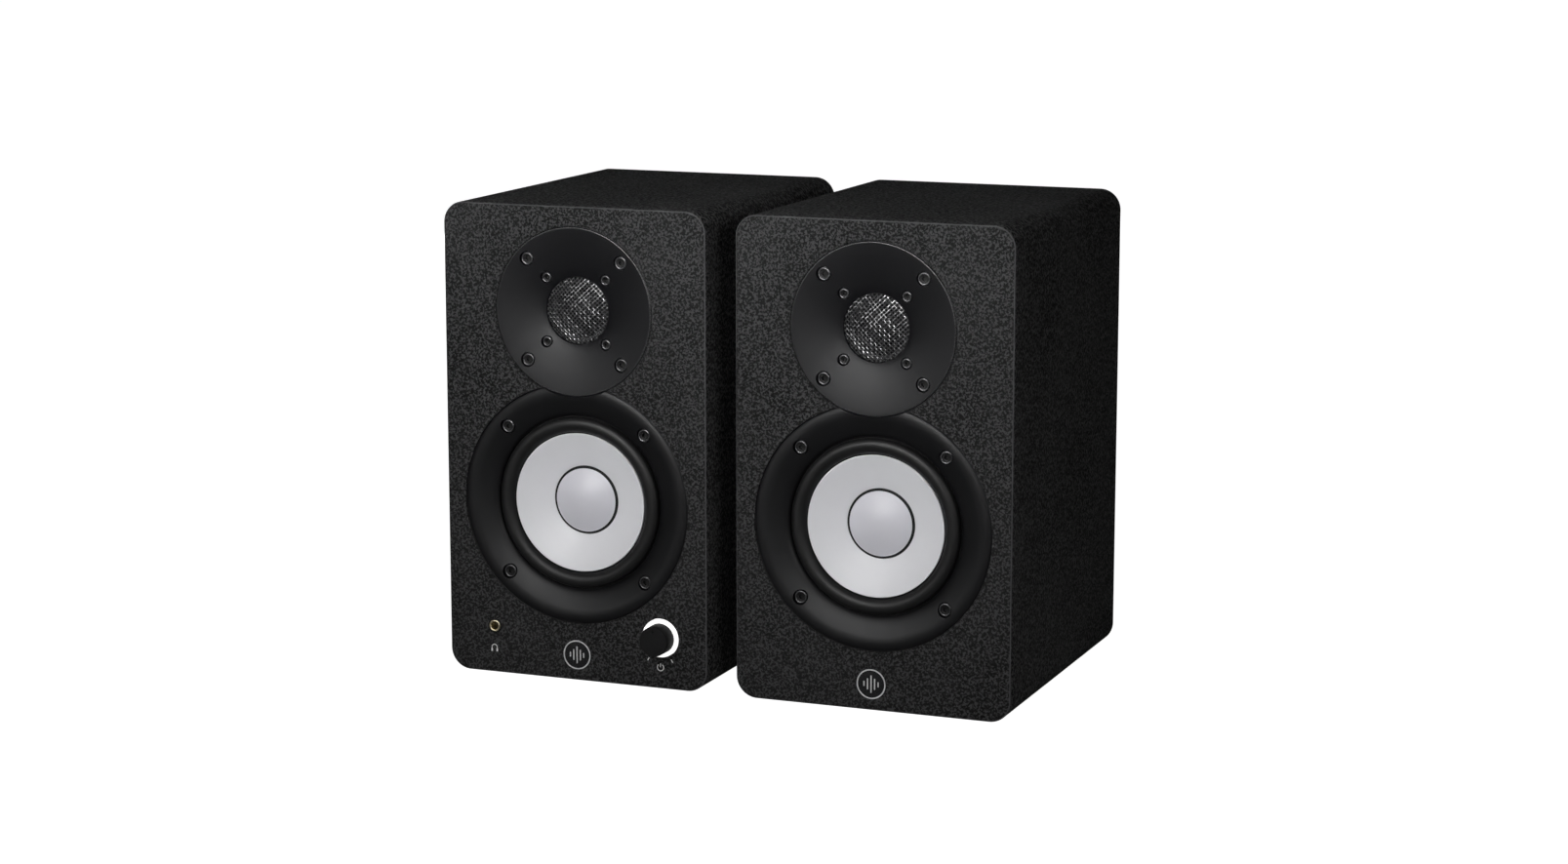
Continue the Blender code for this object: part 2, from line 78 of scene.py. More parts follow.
WOOFER = {side: axis_point(side + "_woofer_cone") for side in SIDES}
TWEETER = {side: axis_point(side + "_tweeter_flange") for side in SIDES}
BADGE = {side: axis_point(side + "_badge") for side in SIDES}
PORT = {side: axis_point(side + "_port_tube") for side in SIDES}
KNOB = axis_point("left_volume_knob")
JACK = axis_point("left_headphone_jack")
BAFFLE_LOW, BAFFLE_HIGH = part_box("left_front_baffle")
WIDTH, HEIGHT = (BAFFLE_HIGH.x - BAFFLE_LOW.x) / MM, (BAFFLE_HIGH.z - BAFFLE_LOW.z) / MM
DEPTH = back_of("left_cabinet_shell")
PANEL_BACK = back_of("left_rear_panel")
SWITCHES = ("left_room_switch", "left_treble_switch")
CORNER, EDGE = 10.0, 0.9
WALL, BAFFLE = 9.0, 15.0
PORT_R = 15.0
FLANGE_R, FRAME_R = 39.5, 56.6
# The drivers' rims lie in a recess this deep, with this much play round them.
RECESS, PLAY = 4.3, 0.18
# Half the side of each square of screws, and the bore for a screw's shank.
WOOFER_SQUARE, FLANGE_SQUARE, INNER_SQUARE = 34.6, 23.6, 14.9
SHANK_BORE = 1.7
KNOB_R, RING_R = 7.05, 9.02
# Cutters start in front of the face, and go right through the baffle or the rear panel.
AHEAD, THROUGH = -2.0, 20.0
REAR_NEAR, REAR_FAR = 150.0, 180.0
# The rear sockets' bodies start this far behind the fronts.
SOCKET_FRONT = 143.2

# ---------------------------------------------------------------- mesh helpers (millimetres)


def make(name, bm, material, origin, smooth=35.0):
    """Makes an object of a mesh in millimetres, smooth up to an angle in degrees."""
    bmesh.ops.recalc_face_normals(bm, faces=bm.faces)
    bmesh.ops.scale(bm, vec=(MM, MM, MM), verts=bm.verts)
    mesh = bpy.data.meshes.new(name)
    bm.to_mesh(mesh)
    bm.free()
    if smooth:
        mesh.shade_smooth()
        mesh.set_sharp_from_angle(angle=math.radians(smooth))
    if material:
        mesh.materials.append(material)
    obj = bpy.data.objects.new(name, mesh)
    bpy.context.scene.collection.objects.link(obj)
    obj.location = origin
    return obj


def spline(points, steps=6):
    """A smooth curve through the points (Catmull-Rom)."""
    out = []
    p = [points[0]] + list(points) + [points[-1]]
    for i in range(1, len(p) - 2):
        a, b, c, d = (np.array(q, float) for q in p[i - 1 : i + 3])
        for k in range(steps):
            t = k / steps
            q = 0.5 * (
                2 * b + (c - a) * t + (2 * a - 5 * b + 4 * c - d) * t**2
                + (3 * b - a - 3 * c + d) * t**3
            )
            out.append((float(q[0]), float(q[1])))
    return out + [tuple(points[-1])]


def eased(points, radius=0.3, steps=3, closed=True):
    """The same outline with its corners rounded."""
    out, n = [], len(points)
    for i in range(n):
        if not closed and i in (0, n - 1):
            out.append(points[i])
            continue
        b = np.array(points[i], float)
        a, c = np.array(points[i - 1], float), np.array(points[(i + 1) % n], float)
        la, lc = np.linalg.norm(a - b), np.linalg.norm(c - b)
        turn = abs(np.cross(b - a, c - b)) / max(la * lc, 1e-9)
        reach = min(radius, la * 0.45, lc * 0.45)
        if turn < 0.35 or reach < 1e-4:
            out.append(tuple(b))
            continue
        p, q = b + (a - b) / la * reach, b + (c - b) / lc * reach
        for k in range(steps + 1):
            t = k / steps
            out.append(tuple((1 - t) ** 2 * p + 2 * t * (1 - t) * b + t**2 * q))
    return out


def lathe_mesh(profile, steps=96):
    """Solid of revolution about y. Points with radius 0 are poles; without them the outline
    is a closed ring."""
    bm = bmesh.new()
    rows = []
    for r, y in profile:
        if r < 1e-6:
            rows.append([bm.verts.new((0, y, 0))] * steps)
        else:
            turns = [math.tau * k / steps for k in range(steps)]
            rows.append([bm.verts.new((r * math.cos(a), y, r * math.sin(a))) for a in turns])
    ring = all(r > 1e-6 for r, _ in profile)
    pairs = list(zip(rows, rows[1:])) + ([(rows[-1], rows[0])] if ring else [])
    for a, b in pairs:
        for k in range(steps):
            n = (k + 1) % steps
            corners = []
            for v in (a[k], a[n], b[n], b[k]):
                if v not in corners:
                    corners.append(v)
            if len(corners) > 2:
                bm.faces.new(corners)
    return bm


def lathe(name, profile, material, origin, steps=96):
    return make(name, lathe_mesh(profile, steps), material, origin)


def rounded_rectangle(width, height, radius, steps=8):
    points = []
    for quarter in range(4):
        sx, sz = ((1, 1), (-1, 1), (-1, -1), (1, -1))[quarter]
        for k in range(steps + 1):
            angle = math.radians(90 * (quarter + k / steps))
            points.append(
                (
                    sx * (width / 2 - radius) + radius * math.cos(angle),
                    sz * (height / 2 - radius) + radius * math.sin(angle),
                )
            )
    return points


def loft_mesh(sections):
    """Closed solid through outlines at their places along y."""
    bm = bmesh.new()
    loops = [[bm.verts.new((x, y, z)) for x, z in outline] for y, outline in sections]
    for near, far in zip(loops, loops[1:]):
        for k in range(len(near)):
            n = (k + 1) % len(near)
            bm.faces.new((near[k], near[n], far[n], far[k]))
    bm.faces.new(loops[0])
    bm.faces.new(loops[-1])
    return bm


def block_sections(width, height, y0, y1, radius, edge0=0.0, edge1=0.0, steps=8, turn=4):
    """Sections of a rounded plate whose front and back edges may be rounded too."""

    def insets(edge):
        """How far in, and how far from the face, each section round an edge lies."""
        angles = [math.pi / 2 * k / turn for k in range(turn + 1)] if edge else [0.0]
        return [(edge * (1 - math.sin(a)), edge * (1 - math.cos(a))) for a in angles]

    places = [(y0 + depth, inset) for inset, depth in insets(edge0)]
    places += [(y1 - depth, inset) for inset, depth in insets(edge1)[::-1]]
    return [
        (y, rounded_rectangle(
            width - 2 * inset, height - 2 * inset, max(radius - inset, 0.05), steps
        ))
        for y, inset in places
    ]


def block(name, width, height, y0, y1, material, origin, radius=1.0, edge0=0.0, edge1=0.0):
    sections = block_sections(width, height, y0, y1, radius, edge0, edge1)
    return make(name, loft_mesh(sections), material, origin)


def cutter(width, height, y0, y1, radius, origin):
    """A rounded block for apply_cuts."""
    return make(
        "cutter", loft_mesh(block_sections(width, height, y0, y1, radius)), None, origin, 0
    )


def apply_cuts(obj, cutters, operation="DIFFERENCE"):
    """Cuts obj by each cutter (or joins them to it) and removes the cutters."""
    for tool in cutters:
        change = obj.modifiers.new("cut", "BOOLEAN")
        change.operation = operation
        change.solver = "EXACT"
        change.object = tool
    bpy.context.view_layer.update()
    graph = bpy.context.evaluated_depsgraph_get()
    mesh = bpy.data.meshes.new_from_object(obj.evaluated_get(graph))
    mesh.name = obj.name
    obj.modifiers.clear()
    old = obj.data
    obj.data = mesh
    bpy.data.meshes.remove(old)
    for tool in cutters:
        bpy.data.objects.remove(tool, do_unlink=True)
    obj.data.shade_smooth()
    obj.data.set_sharp_from_angle(angle=math.radians(30))


def plug(radii, origin, steps=32):
    """A stepped round cutter: radii is a list of (radius, from y, to y)."""
    profile = [(0, radii[0][1])]
    for radius, y0, y1 in radii:
        profile += [(radius, y0), (radius, y1)]
    profile.append((0, radii[-1][2]))
    return make("cutter", lathe_mesh(profile, steps), None, origin, 0)


def sleeve(inner, outer, y0, y1, edge=0.15):
    """Outline of a tube whose ends are rounded."""
    return eased([(inner, y0), (outer, y0), (outer, y1), (inner, y1)], edge)


def merge_into(bm, part, x):
    """Adds the mesh part to bm, moved sideways by x, and frees it."""
    bmesh.ops.translate(part, vec=(x, 0, 0), verts=part.verts)
    moved = bpy.data.meshes.new("part")
    part.to_mesh(moved)
    part.free()
    bm.from_mesh(moved)
    bpy.data.meshes.remove(moved)


def added(piece, slot, body, *nodes):
    """Hides the CAD nodes that a piece stands in for and attaches it to the body it moves with. The
    slot, the finish it takes, is not used.
    """
    if nodes:
        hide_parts(*nodes)
    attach(piece, body)


def offset(origin, x=0.0, y=0.0, z=0.0):
    return origin + Vector((x, y, z)) * MM


def square(half):
    """The four corners of a square round the middle, by half its side."""
    return [(sx * half, sz * half) for sz in (1, -1) for sx in (-1, 1)]


def tube_path(bm, points, radius, sides):
    """Adds a round wire along points to bm."""
    rings, side = [], None
    for i, p in enumerate(points):
        t = (points[min(i + 1, len(points) - 1)] - points[max(i - 1, 0)]).normalized()
        if side is None:
            side = t.orthogonal().normalized()
        side = (side - t * side.dot(t)).normalized()
        up = t.cross(side)
        turns = [math.tau * k / sides for k in range(sides)]
        rings.append([
            bm.verts.new(p + side * (radius * math.cos(a)) + up * (radius * math.sin(a)))
            for a in turns
        ])
    for a, b in zip(rings, rings[1:]):
        for k in range(sides):
            m = (k + 1) % sides
            bm.faces.new((a[k], a[m], b[m], b[k]))
    bm.faces.new(rings[0])
    bm.faces.new(rings[-1])


# ---------------------------------------------------------------- materials


class Nodes:
    """A short way to write a Principled material's nodes."""

    def __init__(self, name, colour, roughness, **sockets):
        self.material = bpy.data.materials.new(name)
        self.material.use_nodes = True
        self.tree = self.material.node_tree
        self.shader = self.tree.nodes["Principled BSDF"]
        self.shader.inputs["Base Color"].default_value = (*colour, 1.0)
        self.shader.inputs["Roughness"].default_value = roughness
        for socket, value in sockets.items():
            self.shader.inputs[socket.replace("_", " ")].default_value = value
        self.coordinates = self.tree.nodes.new("ShaderNodeTexCoord").outputs["Object"]
        self.material.diffuse_color = (*colour, 1.0)

    def link(self, output, target):
        self.tree.links.new(output, target)

    def mapping(self, scale=(1, 1, 1), rotation=(0, 0, 0)):
        node = self.tree.nodes.new("ShaderNodeMapping")
        node.inputs["Scale"].default_value = scale
        node.inputs["Rotation"].default_value = rotation
        self.link(self.coordinates, node.inputs["Vector"])
        return node.outputs["Vector"]

    def noise(self, size_mm, detail=2.0, rough=0.5, vector=None):
        node = self.tree.nodes.new("ShaderNodeTexNoise")
        node.inputs["Scale"].default_value = 1000.0 / size_mm
        node.inputs["Detail"].default_value = detail
        node.inputs["Roughness"].default_value = rough
        self.link(vector or self.coordinates, node.inputs["Vector"])
        return node.outputs["Fac"]

    def ramp(self, value, stops):
        node = self.tree.nodes.new("ShaderNodeValToRGB")
        elements = node.color_ramp.elements
        while len(elements) < len(stops):
            elements.new(0.5)
        for element, (at, shade) in zip(elements, stops):
            element.position = at
            shade = shade if isinstance(shade, (tuple, list)) else (shade,) * 3
            element.color = (*shade, 1.0)
        self.link(value, node.inputs["Fac"])
        return node.outputs["Color"]

    def math(self, operation, a, b):
        node = self.tree.nodes.new("ShaderNodeMath")
        node.operation = operation
        for k, value in enumerate((a, b)):
            if isinstance(value, (int, float)):
                node.inputs[k].default_value = value
            else:
                self.link(value, node.inputs[k])
        return node.outputs["Value"]

    def mix(self, factor, a, b):
        node = self.tree.nodes.new("ShaderNodeMix")
        node.data_type = "RGBA"
        self.link(factor, node.inputs["Factor"])
        for socket, value in ((6, a), (7, b)):
            if isinstance(value, tuple):
                node.inputs[socket].default_value = (*value, 1.0)
            else:
                self.link(value, node.inputs[socket])
        return node.outputs[2]

    def bump(self, height, strength, distance_mm):
        node = self.tree.nodes.new("ShaderNodeBump")
        node.inputs["Strength"].default_value = strength
        node.inputs["Distance"].default_value = distance_mm * MM
        self.link(height, node.inputs["Height"])
        return node.outputs["Normal"]

    def set(self, socket, output):
        self.link(output, self.shader.inputs[socket])

    def done(self):
        return self.material


def vinyl(name, low, high, size, strength, rough, specular):
    """Grained vinyl: pits and crests at one size, a finer grain, and soft wear over it."""
    n = Nodes(name, high, rough, Specular_IOR_Level=specular)
    turned = n.mapping(rotation=(0.6, 0.4, 0.7))
    grain = n.noise(size, 2.0, 0.55, turned)
    fine = n.noise(size * 0.45, 2.0, 0.5, turned)
    both = n.math("ADD", n.math("MULTIPLY", grain, 0.76), n.math("MULTIPLY", fine, 0.24))
    worn = n.noise(70.0, 3.0, 0.5)
    half = tuple((a + b) * 0.21 for a, b in zip(low, high))
    crest = n.ramp(both, ((0.45, low), (0.50, half), (0.56, high)))
    n.set("Base Color", n.mix(n.ramp(worn, ((0.35, 0.0), (0.75, 0.20))), crest,
                              tuple(min(1.0, c * 1.2) for c in high)))
    n.set("Roughness", n.ramp(both, ((0.3, rough + 0.12), (0.7, rough - 0.08))))
    n.set("Normal", n.bump(both, strength, size * 0.40))
    return n.done()


def satin(name, colour, rough, grain=0.16, strength=0.10, specular=0.5, cloudy=0.12):
    """Moulded plastic with a fine spark-eroded texture."""
    n = Nodes(name, colour, rough, Specular_IOR_Level=specular)
    fine = n.noise(grain, 2.0, 0.6)
    cloud = n.noise(22.0, 3.0, 0.5)
    n.set("Roughness", n.ramp(n.math("ADD", n.math("MULTIPLY", fine, 0.6),
                                     n.math("MULTIPLY", cloud, 0.4)),
                              ((0.3, rough - 0.4 * cloudy), (0.7, rough + 0.6 * cloudy))))
    n.set("Base Color", n.ramp(cloud, ((0.3, tuple(c * (1 - cloudy) for c in colour)),
                                       (0.7, tuple(min(1, c * (1 + cloudy)) for c in colour)))))
    n.set("Normal", n.bump(fine, strength, grain * 0.6))
    return n.done()


def metal(name, colour, rough, size=0.5, strength=0.05, turned=True):
    """Machined or plated metal with fine marks and slight tarnish."""
    n = Nodes(name, colour, rough, Metallic=1.0)
    fine = n.noise(size, 3.0, 0.6, n.mapping((1, 6, 1)) if turned else None)
    cloud = n.noise(6.0, 3.0, 0.5)
    n.set("Roughness", n.ramp(fine, ((0.3, rough - 0.06), (0.7, rough + 0.10))))
    n.set("Base Color", n.ramp(cloud, ((0.3, tuple(c * 0.82 for c in colour)),
                                       (0.7, colour))))
    n.set("Normal", n.bump(fine, strength, size * 0.3))
    return n.done()


FRONT = vinyl("front_vinyl", (0.0005,) * 3, (0.0465, 0.0465, 0.0475), 1.05, 1.0, 0.64, 0.20)
WRAP = vinyl("cabinet_vinyl", (0.002,) * 3, (0.120, 0.120, 0.120), 1.3, 1.0, 0.60, 0.26)
BEZEL = satin("frame_plastic", (0.0033, 0.0033, 0.0040), 0.42, 0.16, 0.10, 0.34)
FLANGE = satin("flange_plastic", (0.0037, 0.0037, 0.0047), 0.40, 0.2, 0.12, 0.28)
# The fronts' rounded edge: smoother, with a lighter colour that paints a highlight along it.
FRONT_EDGE_HIGHLIGHT = satin("painted_edge_highlight", (0.072, 0.072, 0.075), 0.36, 0.25, 0.10, 0.60)
# The flange rim's lighter colour is a painted highlight.
FLANGE_RIM_HIGHLIGHT = satin("flange_edge", (0.012, 0.012, 0.013), 0.24, 0.2, 0.05, 0.90)
KNOB_BLACK = satin("knob_plastic", (0.0110, 0.0110, 0.0114), 0.60, 0.12, 0.08, 0.12)
MOULDED = satin("socket_plastic", (0.024, 0.024, 0.025), 0.42, 0.2, 0.12)
RUBBER = satin("surround_rubber", (0.0070, 0.0070, 0.0072), 0.43, 0.22, 0.10, 0.37)
GLUE = satin("glue_line", (0.003, 0.003, 0.003), 0.5, 0.3, 0.2, 0.3)
CONE = satin("cone_film", (0.775, 0.775, 0.80), 0.36, 0.35, 0.06, 0.5, 0.02)
CAP = satin("cap_film", (0.655, 0.65, 0.695), 0.36, 0.30, 0.05, 0.5, 0.02)
WIRE = metal("black_wire", (0.38, 0.38, 0.385), 0.34, 0.3, 0.05, False)
SCREW = metal("black_screw", (0.18, 0.18, 0.185), 0.26, 0.25, 0.08, False)
# Near-black: the jack's washer and core, the grille's band, and painted shade in the screws'
# sockets.
BLACK_AND_PAINTED_SHADE = satin("socket_black", (0.003, 0.003, 0.003), 0.5, 0.25, 0.1, 0.3)
STEEL = metal("plated_steel", (0.55, 0.55, 0.57), 0.30, 0.5, 0.05)
NICKEL = metal("nickel", (0.62, 0.60, 0.56), 0.24, 0.4, 0.04)
BRASS = metal("brass", (0.98, 0.88, 0.62), 0.30, 0.3, 0.05, False)
SILVER = satin("silver_mark", (0.62, 0.62, 0.63), 0.38, 0.2, 0.05, 0.5)
BADGE_BLACK = satin("badge_black", (0.010, 0.010, 0.011), 0.24, 0.25, 0.05, 0.6)
PRINT = satin("grey_print", (0.80, 0.80, 0.80), 0.55, 0.2, 0.1, 0.3)
PANEL = satin("powder_coat", (0.034, 0.034, 0.036), 0.48, 0.55, 0.35)
FERRITE = satin("ferrite", (0.045, 0.045, 0.048), 0.6, 0.5, 0.3)
GREEN = satin("board_green", (0.02, 0.12, 0.05), 0.38, 0.6, 0.1)
CLOTH = satin("spider_cloth", (0.50, 0.36, 0.16), 0.85, 0.35, 0.6, 0.2)
COPPER = metal("copper_coil", (0.80, 0.42, 0.25), 0.32, 0.25, 0.2)
SILK = satin("silk_dome", (0.007, 0.007, 0.0075), 0.55, 0.3, 0.35, 0.3)
RED = satin("red_insert", (0.45, 0.02, 0.02), 0.4, 0.3, 0.1)
WHITE = satin("white_insert", (0.75, 0.75, 0.73), 0.4, 0.3, 0.1)


def lit_ring():
    n = Nodes("light_pipe", (0.95, 0.95, 0.95), 0.32, Emission_Strength=1.05)
    n.shader.inputs["Emission Color"].default_value = (1.0, 0.99, 0.98, 1.0)
    cloud = n.noise(4.0, 2.0, 0.5)
    n.set("Base Color", n.ramp(cloud, ((0.3, (0.86, 0.87, 0.88)), (0.7, (0.97, 0.97, 0.97)))))
    n.set("Normal", n.bump(n.noise(0.3, 2.0, 0.5), 0.1, 0.1))
    return n.done()


LIGHT = lit_ring()

# ---------------------------------------------------------------- cabinets


# What fills the opening in each cabinet's back, and the opening's width and height.
REAR_OPENING = {
    "left": ("left_rear_panel", 88, 92), "right": ("right_link_socket", 24.6, 14.6),
}


def add_cabinet(side):
    centre = offset(front_of(side), 0, 0, HEIGHT / 2)
    shell = make(
        side + "_cabinet",
        loft_mesh(block_sections(WIDTH, HEIGHT, BAFFLE + 0.03, DEPTH, CORNER, 0, 1.4, 16)),
        WRAP, centre,
    )
    y0, y1 = DEPTH - 20, DEPTH + 5
    hollow = cutter(WIDTH - 2 * WALL, HEIGHT - 2 * WALL, 5, DEPTH - WALL, 2.0, centre)
    opening, width, height = REAR_OPENING[side]
    rear = cutter(width, height, y0, y1, 1.3, axis_point(opening))
    apply_cuts(shell, [hollow, plug([(PORT_R + 2.3, y0, y1)], PORT[side], 48), rear])
    added(shell, "cabinet_wrap", side + "_speaker", side + "_cabinet_shell")


def add_baffle(side):
    centre = offset(front_of(side), 0, 0, HEIGHT / 2)
    baffle = make(
        side + "_baffle",
        loft_mesh(block_sections(WIDTH, HEIGHT, 0, BAFFLE, CORNER, EDGE, 0, 16)),
        FRONT, centre,
    )
    cutters = [
        plug([(FRAME_R + PLAY, AHEAD, RECESS), (43.3, RECESS, THROUGH)], WOOFER[side], 128),
        plug([(FLANGE_R + PLAY, AHEAD, RECESS), (28.9, RECESS, THROUGH)], TWEETER[side], 128),
        plug([(7.25, AHEAD, 1.3)], BADGE[side], 64),
    ]
    if side == "left":
        cutters.append(plug([(9.35, AHEAD, THROUGH)], KNOB, 64))
        cutters.append(plug([(3.15, AHEAD, THROUGH)], JACK, 32))
    apply_cuts(baffle, cutters)
    baffle.data.materials.append(WRAP)
    baffle.data.materials.append(FRONT_EDGE_HIGHLIGHT)
    # The wrap's grain runs up the four sides, the front's own grain is on the face, and the
    # rounded edge between them is rubbed smooth and given a lighter colour, a painted highlight.
    # The recesses keep the face's material.
    inner_x, inner_z = (WIDTH / 2 - CORNER) * MM, (HEIGHT / 2 - CORNER) * MM
    for polygon in baffle.data.polygons:
        centre_y = polygon.center.y / MM
        over_x = max(0.0, abs(polygon.center.x) - inner_x)
        over_z = max(0.0, abs(polygon.center.z) - inner_z)
        if math.hypot(over_x, over_z) < (CORNER - EDGE - 0.1) * MM:
            continue
        if abs(polygon.normal.y) < 0.5 and centre_y > 0.5:
            polygon.material_index = 1
        elif abs(polygon.normal.y) < 0.97 and centre_y < EDGE:
            polygon.material_index = 2
    added(baffle, "front_wrap", side + "_speaker", side + "_front_baffle")


# ---------------------------------------------------------------- woofers


def screw_mesh(head, top, seat, socket=1.25):
    """Socket-head screw: a rounded rim, a dished face and a hexagon socket. The faces inside the
    rim take the second material, a near-black that paints shade into the recess."""
    steps, rim, shank, length = 36, 0.44, 1.4, 9.5
    centre = head - rim
    profile = [(centre - rim, top + 0.62)]
    for k in range(9):
        a = math.pi * (1 - k / 8)
        profile.append((centre + rim * math.cos(a), top + rim - rim * math.sin(a)))
    profile += [(head, seat), (shank, seat), (shank, seat + length)]
    bm = bmesh.new()

    def row(radius, y, hexagon=False):
        out = []
        for k in range(steps):
            a = math.tau * k / steps
            part = (a % (math.pi / 3)) - math.pi / 6
            r = radius * math.cos(math.pi / 6) / math.cos(part) if hexagon else radius
            out.append(bm.verts.new((r * math.cos(a), y, r * math.sin(a))))
        return out

    rows = [row(socket * 0.96, top + 1.9, True), row(socket, top + 0.72, True)]
    rows += [row(r, y) for r, y in profile]
    for index, (a, b) in enumerate(zip(rows, rows[1:])):
        for k in range(steps):
            n = (k + 1) % steps
            face = bm.faces.new((a[k], a[n], b[n], b[k]))
            # Painted shade: the socket and the dished face take the near-black second material.
            face.material_index = 1 if index < 3 else 0
    bm.faces.new(rows[0]).material_index = 1
    bm.faces.new(rows[-1])
    return bm


def add_screws(side, kind, half, origin, head, top, seat):
    """Four screws on a square, each turned to its own angle as a hand leaves it."""
    for k, (x, z) in enumerate(square(half)):
        name, node = "%s_%s_bolt_%d" % (side, kind, k + 1), "%s_%s_screw_%d" % (side, kind, k + 1)
        screw = make(name, screw_mesh(head, top, seat), SCREW, offset(origin, x, 0, z))
        # The second material paints shade into the screw's socket and dished face.
        screw.data.materials.append(BLACK_AND_PAINTED_SHADE)
        screw.rotation_euler = (0, math.radians(17 + 23 * k), 0)
        bpy.context.view_layer.update()
        added(screw, "screw_black", side + "_speaker", node)


def add_woofer_frame(side):
    w = WOOFER[side]
    dish = spline(
        [(56.4, 0.40), (55.7, 0.02), (54.3, -0.26), (52.7, -0.28), (50.9, -0.02), (48.9, 0.55),
         (46.7, 1.32), (44.6, 2.15), (43.0, 2.95), (41.9, 3.7), (41.3, 4.35)], 5,
    )
    lip = [(41.15, 4.6), (41.5, 5.0), (41.8, 5.2), (41.8, 6.4)]
    rest = eased(
        [(38.6, 6.4), (38.6, 9.5), (30.6, 22.0), (30.6, 24.2), (27.5, 24.2), (27.5, 29.5),
         (19.0, 29.5), (19.0, 31.5), (32.0, 31.5), (33.0, 24.0), (43.0, 8.0), (43.0, 4.0),
         (56.6, 4.0), (56.6, 0.25)], 0.3, 2, False,
    )
    ring = lathe(side + "_woofer_basket", dish + lip + rest, BEZEL, w, 144)
    cutters = [plug([(FLANGE_R + PLAY, AHEAD, 5)], TWEETER[side], 144)]
    # Two crossed blocks cut four windows in the basket's wall.
    for turn in (45, 135):
        bm = bmesh.new()
        bmesh.ops.create_cube(bm, size=1.0)
        bmesh.ops.scale(bm, vec=(120, 8.3, 26.6), verts=bm.verts)
        bmesh.ops.translate(bm, vec=(0, 17.25, 0), verts=bm.verts)
        window = make("cutter", bm, None, w, 0)
        window.rotation_euler = (0, math.radians(turn), 0)
        cutters.append(window)
    for x, z in square(WOOFER_SQUARE):
        bores = [(3.5, AHEAD, 3.1), (SHANK_BORE, 3.1, 6)]
        cutters.append(plug(bores, offset(w, x, 0, z), 40))
    apply_cuts(ring, cutters)
    added(ring, "satin_black", side + "_speaker", side + "_woofer_frame")
    add_screws(side, "woofer", WOOFER_SQUARE, w, 3.0, 0.95, 2.8)


def radial_blend(obj, centre, inner, outer):
    """The piece lies between the fixed rim and the moving cone. Works out how much each point would
    follow the cone, all of it inside the inner radius and none outside the outer one, but does not
    apply it; the piece stays as built."""
    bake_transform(obj)
    count = len(obj.data.vertices)
    co = np.empty(count * 3, np.float32)
    obj.data.vertices.foreach_get("co", co)
    co = co.reshape(-1, 3)
    radius = np.hypot(co[:, 0] - centre.x, co[:, 2] - centre.z) / MM
    share = np.clip((outer - radius) / (outer - inner), 0, 1)
    share = share * share * (3 - 2 * share)


def add_surround(side):
    w = WOOFER[side]
    middle_r, half, rise = 36.85, 3.5, 2.7
    front, back = [(41.35, 5.95), (40.5, 5.95)], []
    for k in range(25):
        a = math.pi * k / 24
        drop = 0.9 * k / 24
        lift = drop - rise * math.sin(a)
        front.append((middle_r + half * math.cos(a), 4.5 + lift))
        back.append((middle_r + (half - 0.6) * math.cos(a), 5.2 + lift))
    front += [(33.1, 5.75), (32.2, 6.15)]
    back = [(41.35, 6.38), (40.1, 6.38)] + back + [(33.0, 6.4), (32.2, 6.8)]
    rubber = lathe(side + "_surround", front + back[::-1], RUBBER, w, 144)
    radial_blend(rubber, w, 33.4, 40.5)
    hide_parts(side + "_woofer_surround")


def add_cone(side):
    w = WOOFER[side]
    front = eased([(32.75, 5.7), (32.75, 4.75), (32.35, 4.62), (31.9, 4.9)], 0.2, 3, False)
    front += spline([(31.3, 5.2), (28.0, 6.85), (24.0, 8.75), (20.0, 10.6), (16.6, 12.15)], 6)
    front += [(15.9, 12.5), (14.2, 13.3), (13.35, 14.0)]
    back = [(13.35, 14.9), (16.0, 13.3), (20.0, 11.5), (24.0, 9.65), (28.0, 7.75), (31.6, 6.0)]
    body = side + "_woofer_cone"
    cone = lathe(side + "_cone", front + back, CONE, w, 160)
    added(cone, "cone_white", body, side + "_woofer_cone")
    bead = eased([(15.0, 11.65), (15.85, 11.60), (16.35, 12.40), (15.0, 12.9)], 0.2)
    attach(lathe(side + "_cap_joint", bead, GLUE, w, 96), body)
    radius, rise = 15.25, 4.3
    outer = [(0, 12.2 - rise)]
    for k in range(1, 15):
        r = 14.75 * math.sin(math.pi / 2 * k / 14)
        outer.append((r, 12.05 - rise * (1 - (r / radius) ** 2)))
    rim = eased([(14.85, 11.62), (15.1, 11.66), (15.15, 12.25), (14.7, 12.25)], 0.1, 2, False)
    inner = [(r * 0.95, y + 0.6) for r, y in outer[:-1]][::-1]
    cap = lathe(side + "_dust_cap", outer + rim + inner, CAP, w, 96)
    added(cap, "cap_lilac", body, side + "_woofer_dust_cap")
    tube = [(12.2, 13.0), (12.9, 13.0), (12.9, 30.8)]
    turns = [(13.3 if k % 2 else 13.12, 30.8 + 0.28 * k) for k in range(25)]
    former = lathe(side + "_voice_coil", tube + turns + [(12.2, 37.5)], COPPER, w, 64)
    added(former, "coil", body, side + "_woofer_voice_coil")


def add_spider(side):
    """Corrugated cloth from the coil's former to the basket."""
    w = WOOFER[side]
    inner, outer, flat_from, steps = 13.2, 30.3, 28.5, 56
    waves = []
    for k in range(steps + 1):
        r = inner + (outer - inner) * k / steps
        wave = 0.62 * math.cos(math.tau * 5 * k / steps) if r < flat_from else 0.5
        waves.append((r, 22.7 + wave))
    back = [(r, y + 0.5) for r, y in reversed(waves)]
    spider = lathe(side + "_spider", waves + back, CLOTH, w, 96)
    radial_blend(spider, w, 13.5, 30.0)
    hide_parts(side + "_woofer_spider")


# ---------------------------------------------------------------- tweeters


